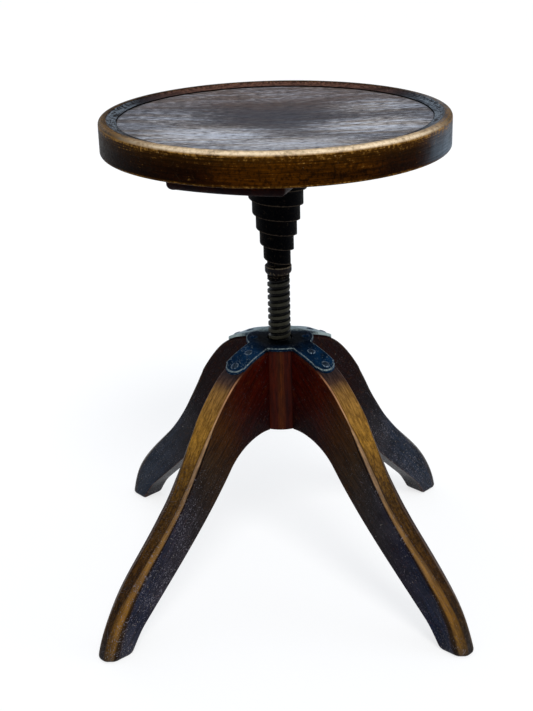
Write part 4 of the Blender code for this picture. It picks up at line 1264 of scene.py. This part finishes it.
def hoop_profile(radius, bottom, top, panel_radius, panel_bottom, panel_top):
    """Points of the profile, and for each how rubbed it is, how bare on the crest, and the hollow.

    The corner of the rim is rubbed most. The hollow is marked 1, and the lip and what it covers 2.
    """
    inside = radius - HOOP_WALL
    groove = panel_radius + FIT
    lip = panel_radius - LIP_COVER
    hollow_start = radius - (radius - lip) * RIM_BAND_SHARE
    hollow = RIM_RISE - RIM_STEP
    foot = arc((radius - FOOT_ROUND, bottom + FOOT_ROUND), FOOT_ROUND, -90, 0, 7)
    rise = np.linspace(bottom + FACE_RUN[0], top - RIM_ROUND - FACE_RUN[1], 12)
    face = np.stack(np.broadcast_arrays(radius, rise), axis=-1)
    rim = arc((radius - RIM_ROUND, top - RIM_ROUND), RIM_ROUND, 0, 90, 14)
    bead = arc((hollow_start + BEAD_ROUND, top - BEAD_ROUND), BEAD_ROUND, 90, 170, 6)
    sweep = np.radians(np.linspace(10, 90, 14))
    cove_width = hollow_start - lip - LIP_EASE
    cove = [hollow_start - cove_width * (1 - np.cos(sweep)), top - hollow * np.sin(sweep)]
    cove = np.stack(cove, axis=-1)
    land = arc((lip + LAND_ROUND, top - hollow - LAND_ROUND), LAND_ROUND, 90, 180, 5)
    inner = [
        (lip, panel_top + FIT), (groove, panel_top + FIT), (groove, panel_bottom - FIT),
        (inside, panel_bottom - FIT), (inside, bottom + INNER_EASE), (inside + INNER_EASE, bottom),
    ]
    share = np.linspace(0, 1, len(rim))
    corner = np.interp(share, [0, 0.35, 0.65, 1], [0.5, 1.05, 0.9, 0.55])
    crown = np.interp(share, [0.1, 0.4, 0.6, 1], [0, 1, 0.75, 0.4])
    rows = (
        (foot, np.linspace(0.7, 0.3, len(foot)), 0, 0),
        (face, np.exp(-(top - rise) / RUB_FADE), 0, 0),
        (rim, corner, crown, 0),
        (bead, 0.4, np.linspace(0.35, 0, len(bead)), (0, 0, 0, 0.4, 0.7, 1)),
        (cove, np.linspace(0.3, 0.1, len(cove)), 0, 1),
        (land, 0, 0, 2),
        (inner, 0, 0, 2),
    )
    marks = [[np.broadcast_to(row[kind], len(row[0])) for row in rows] for kind in (1, 2, 3)]
    return np.concatenate([row[0] for row in rows]), *[np.concatenate(mark)[:, None] for mark in marks]


def make_hoop_finish():
    material, tree, shader = new_finish("bent hoop wood", specular=0.01, tint="d0dcf4")
    spot = here(tree)
    axes = parts(spot)
    level = wire(tree, "CombineXYZ", {0: axes[0], 1: axes[1]})
    radius = wire(tree, "VectorMath", {0: level}, pick="Value", operation="LENGTH")
    heading = wire(tree, "VectorMath", {0: level}, operation="NORMALIZE")
    heads = parts(heading)
    bent = wire(tree, "CombineXYZ", {0: heads[0], 1: heads[1], 2: axes[2] + radius})
    fibres = between(noise(stretched(bent, 5, 5, 800), 1.0, 3.0, 0.6), 0.3, 0.7)
    bands = between(noise(stretched(bent, 2.5, 2.5, 110), 1.0, 3.0, 0.6, 0.4), 0.3, 0.7)
    pores = between(noise(stretched(bent, 26, 26, 2400), 1.0, 1.0), 0.6, 0.7)
    clouds, mottle = placed(patina_group, Place=spot).values()
    scuffs = placed(scuff_group, Place=spot, Share=0.35)
    rub = field(tree, "rub")
    # How far the rim faces the front, towards the camera.
    facing = wire(
        tree, "VectorMath", {0: heading, 1: (0.12, -0.99, 0)}, pick="Value", operation="DOT_PRODUCT",
    )
    # Painted light: an orange glow on the front of the face.
    glow = between(facing, 0.86, 1.0) * (bands * 0.6 + 0.35)
    color = mixed(bands, "1e1006", "30190a")
    color = mixed(glow, color, "5e3608")
    color = mixed((1.0 - fibres) * 0.7, color, "120a04")
    color = mixed(pores * 0.5, color, "0c0603")
    sooty = clouds * 0.3 + between(mottle, 0.55, 0.2)
    color = mixed((sooty * 0.6).held(), color, "0c0804")
    # Painted shade: the face darkens towards its left end.
    color = mixed(between(heads[0], -0.5, -0.9) * 0.6, color, "0a0705")
    # Painted reflection: a cool grey haze on the right end of the face.
    painted_reflection_haze = fibres * 0.3 + (clouds * 0.45 + 0.05)
    color = mixed(between(heads[0], 0.72, 1.0) * painted_reflection_haze, color, "7a8a98")
    streaky = fibres * 0.35 + mottle * 0.65
    # Rubbed wood, most on the front; its strength there is partly painted light.
    wear_and_front_light = between(facing, -0.5, 0.6) * 0.75 + 0.25
    soft = (rub * (fibres * 0.5 + 0.4)).held()
    color = mixed(soft * wear_and_front_light, color, "6e4818")
    bare = placed(rub_group, Edge=rub, Mottle=streaky, Ragged=1.1)["Bare"]
    gold = mixed(streaky, "5c3c14", "b88844")
    color = mixed(bare * (wear_and_front_light * 0.8), color, gold)
    # The crest is rubbed pale tan, brightest on the front as a painted highlight.
    crest_wear_and_highlight = mixed(between(facing, 0.35, 0.92), "463a2c", "f4dcb8")
    crest = (field(tree, "crest") * (streaky * 1.3 + 0.3)).held()
    color = mixed(crest, color, crest_wear_and_highlight)
    hollow = field(tree, "hollow")
    # Painted light in the hollow: lighter on its far side, with painted glints at both ends.
    painted_cove_light = mixed(between(heads[1], 0.45, 0.95), "282a30", "6a4c40")
    painted_cove_light = mixed(between(mottle, 0.75, 0.25) * 0.7, painted_cove_light, "1a1412")
    glint = between(abs(heads[0]), 0.82, 1.0) * between(streaky, 0.4, 0.6)
    painted_cove_light = mixed(glint * 0.55, painted_cove_light, "929ea8")
    color = mixed(between(hollow, 0.3, 1.0) * 0.8, color, painted_cove_light)
    # Painted shade: the land and the lip over the panel nearly black, as in the gap beside it.
    color = mixed(between(hollow, 1.1, 1.7), color, "080605")
    color = mixed(scuffs["Specks"] * (rub * 0.8 + 0.06), color, "c8b088")
    color = mixed(scuffs["Scratches"] * 0.12, color, "7a6444")
    rough = mottle * 0.2 + 0.3
    fine = fibres * 0.4 + mottle * 0.5
    marks = scuffs["Scratches"] + scuffs["Specks"]
    surface(shader, color, rough, fine - marks, 0.00025)
    return material


hoop_low, hoop_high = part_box("seat_hoop")
panel_low, panel_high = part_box("seat_panel")
sizes = (hoop_high.x, hoop_low.z, hoop_high.z, panel_high.x, panel_low.z, panel_high.z)
profile, rub, crest, hollow = hoop_profile(*sizes)
add_piece(
    "bent_seat_hoop", turned(profile, 288), "loop", make_hoop_finish(), "seat", "hoop_wood",
    ["seat_hoop"], rub=rub, crest=crest, hollow=hollow,
)
print("hoop:", len(profile), "points round the profile")

# %% [markdown]
# ## Seat panel
# The panel is hollowed like a shallow dish and flat at its edge. The depth at a share s of the dish's
# radius is (1 - s^2)^2 of the full depth, which is level at both the middle and the edge. Its stain has
# gone grey brown, with streaks along the grain. It is pale towards the front, partly rubbed by sitters
# and partly a painted sheen, round a painted dark middle.

# %% Panel
PANEL_DISH = 0.005
PANEL_LAND = 0.010
PANEL_EASE = 0.0006


def panel_profile(radius, bottom, top):
    """Points from the middle of the top, over the dish and the edge, to the middle underneath."""
    share = np.linspace(0, 1, 48)
    dish = np.stack([(radius - PANEL_LAND) * share, top - PANEL_DISH * (1 - share**2) ** 2], axis=-1)
    edge = arc((radius - PANEL_EASE, top - PANEL_EASE), PANEL_EASE, 90, 0, 5)
    under = [(radius, bottom + 0.001), (radius - 0.001, bottom), (0.5 * radius, bottom), (0, bottom)]
    return np.concatenate([dish, edge, under])


def make_panel_finish():
    material, tree, shader = new_finish("worn panel wood", specular=0.4, tint="dce4f8")
    spot = here(tree)
    grain = placed(grain_group, Place=spot)
    mottle = placed(patina_group, Place=stretched(spot, 0.3, 1.0, 1.0))["Mottle"]
    scuffs = placed(scuff_group, Place=stretched(spot, 0.5, 1.0, 1.0), Share=0.3)
    fine = noise(stretched(spot, 96, 250, 0), 1.0, 4.0, 0.72)
    bands = noise(stretched(spot, 9, 80, 0), 1.0, 3.0, 0.6, 0.3)
    color = mixed(between(bands, 0.36, 0.64), "36241a", "2a2832")
    color = mixed(between(parts(spot)[1], 0.02, 0.1), color, "5a4230")
    color = grained(color, grain, "0e090a", 0.5)
    # Pale patches, partly rubbed by sitters and partly a painted sheen, round a painted dark middle.
    wear_and_sheen = wear_and_sheen_patch(spot, fine * 0.6 + bands * 0.4)
    rubbed = mixed(between(bands, 0.38, 0.6), "aea296", "bec2cc")
    color = mixed(wear_and_sheen, color, rubbed)
    # Painted highlights: bright glints in the fine streaks of the pale patches.
    bright = between(fine, 0.54, 0.64) * wear_and_sheen
    color = mixed(bright * 0.7, color, "e8ebf0")
    dark = mixed(1.0, color, "76706c", "MULTIPLY")
    color = mixed(between(fine, 0.5, 0.36), color, dark)
    color = mixed(scuffs["Specks"] * 0.4, color, "a89c8c")
    color = mixed(scuffs["Scratches"] * 0.3, color, "8c8480")
    rough = mottle * 0.15 + 0.44 - fine * 0.2
    relief = fine * 1.6 + wood_height(grain, scuffs, mottle)
    surface(shader, color, rough, relief, 0.0006)
    return material


def wear_and_sheen_patch(spot, streak):
    """Where the panel is pale, partly rubbed by sitters and partly a painted sheen: round a painted
    dark middle, most in soft ovals at the front.

    Each entry gives an oval's middle, its half length, how much narrower it is, and its strength. The
    first is turned inside out: it is the painted dark middle.
    """
    total = 0.0
    patches = (
        (0.012, 0.034, 0.16, 1.7, -0.36), (-0.066, -0.074, 0.12, 1.4, 1.1),
        (0.01, -0.118, 0.15, 2.3, 1.0), (0.094, -0.046, 0.11, 1.5, 1.05), (-0.112, 0.0, 0.1, 1.0, 0.52),
        (0.0, 0.112, 0.13, 2.4, 0.4), (0.11, 0.045, 0.1, 1.4, 0.72),
    )
    for x, y, size, narrow, amount in patches:
        offset = wire(spot.tree, "VectorMath", {0: spot, 1: (x, y, 0.5)}, operation="SUBTRACT")
        oval = stretched(offset, 1 / size, narrow / size, 0.0)
        away = wire(spot.tree, "VectorMath", {0: oval}, pick="Value", operation="LENGTH")
        shown = between(away, 1.0, 0.0) if amount > 0 else between(away, 0.3, 1.0)
        total = (shown * abs(amount)).most(total)
    ragged = (streak - 0.5) * 1.5 + total
    return between(ragged, 0.05, 1.15) * 0.9


profile = panel_profile(panel_high.x, panel_low.z, panel_high.z)
add_piece(
    "dished_seat_panel", turned(profile, 192), "open", make_panel_finish(),
    "seat", "panel_wood", ["seat_panel"],
)
print("panel:", len(profile), "points on the profile")

# %% [markdown]
# ## Hidden pieces
# The dowels, the nut, the stops, the guide and the cross pin keep their solids, whose shapes are
# right. They get finishes as well, because the stool can be taken apart.

# %% Hidden pieces


def make_dowel_finish():
    material, tree, shader = new_finish("dowel wood", specular=0.3)
    spot = here(tree)
    grain = placed(grain_group, Place=stretched(spot, 1, 1, 0.6))
    mottle = placed(patina_group, Place=spot)["Mottle"]
    color = mixed(grain["Figure"], "b08a58", "c8a470")
    color = grained(color, grain, "8a6840")
    surface(shader, color, mottle * 0.2 + 0.5, grain["Streaks"], 0.0002)
    return material


dowel_finish = make_dowel_finish()
for name, node in nodes.items():
    if name.startswith("dowel_"):
        node.material_slots[0].material = dowel_finish
    elif name in ("spindle_nut", "seat_guide"):
        node.material_slots[0].material = dark_iron
    elif name in ("stop_washer", "stop_screw", "drive_pin"):
        node.material_slots[0].material = screw_steel
print("hidden pieces finished")

# %% [markdown]
# ## Floor and light
# The photograph has a plain white ground. A pale floor, a broad sun, two soft lamps and a cool sky
# give an even light at which colours render about as they are written.

# %% Floor and light
FLOOR_HALF = 60.0
FLOOR_GLOW = 0.72
FLOOR_DROP = 0.0002


def make_floor_finish():
    """A pale floor that keeps a soft shadow: plain diffuse, with some light of its own for the eye."""
    material = bpy.data.materials.new("pale floor")
    material.use_nodes = True
    tree = material.node_tree
    tree.nodes.clear()
    diffuse = wire(tree, "BsdfDiffuse", {"Color": (0.3, 0.3, 0.3, 1.0)})
    rays = wires(add_node(tree, "LightPath"))
    seen = (rays["Is Camera Ray"] + rays["Is Glossy Ray"]).held()
    seen = (seen + rays["Is Transmission Ray"]).held()
    glow = wire(tree, "Emission", {"Color": "ffffff", "Strength": seen * FLOOR_GLOW})
    add_node(tree, "OutputMaterial", {"Surface": wire(tree, "AddShader", {0: diffuse, 1: glow})})
    return material


def add_light(kind, name, place, aim, power, color, **settings):
    """A light that faces a point. A sun's place only gives its direction."""
    data = bpy.data.lights.new(name, kind)
    for label, value in {"energy": power, "color": color, **settings}.items():
        setattr(data, label, value)
    made = linked(name, data)
    made.location = place
    made.rotation_euler = (Vector(aim) - Vector(place)).to_track_quat("-Z", "Y").to_euler()


corners = np.array([(-1, -1, 0), (1, -1, 0), (1, 1, 0), (-1, 1, 0)]) * FLOOR_HALF - (0, 0, FLOOR_DROP)
floor_mesh = bpy.data.meshes.new("floor")
floor_mesh.from_pydata(corners.tolist(), [], [(0, 1, 2, 3)])
floor_mesh.materials.append(make_floor_finish())
floor = linked("floor", floor_mesh)


def make_sky():
    """A studio sky by height: a pale wall at the horizon, dim above it, and bright overhead."""
    world = bpy.data.worlds.new("sky")
    world.use_nodes = True
    tree = world.node_tree
    height = parts(wire(tree, "TexCoord", pick="Generated"))[2]
    sky = ramp(
        height, (0.0, "ffffff"), (0.1, "ffffff"), (0.16, "6a727e"), (0.24, "626a78"), (0.33, "9098a6"),
        (0.6, "a8b4c4"), (1.0, "f4f8ff"),
    )
    feed(tree.nodes["Background"].inputs["Color"], sky)
    return world


bpy.context.scene.world = make_sky()
SUN = ("front_light", (0.2, -0.8, 0.95), (0, 0, 0), 1.6, (1.0, 0.98, 0.95))
add_light("SUN", *SUN, angle=math.radians(20))
WINDOWS = (
    ("window_right", (2.6, -0.6, 1.0), (0, 0, 0.3), 14.0, (0.86, 0.93, 1.0), 1.6),
    ("window_back", (-1.4, 2.0, 1.3), (0, 0, 0.4), 6.0, (0.9, 0.95, 1.0), 1.2),
)
for *window, size in WINDOWS:
    add_light("AREA", *window, shape="SQUARE", size=size)
print("lamps:", len(bpy.data.lights))
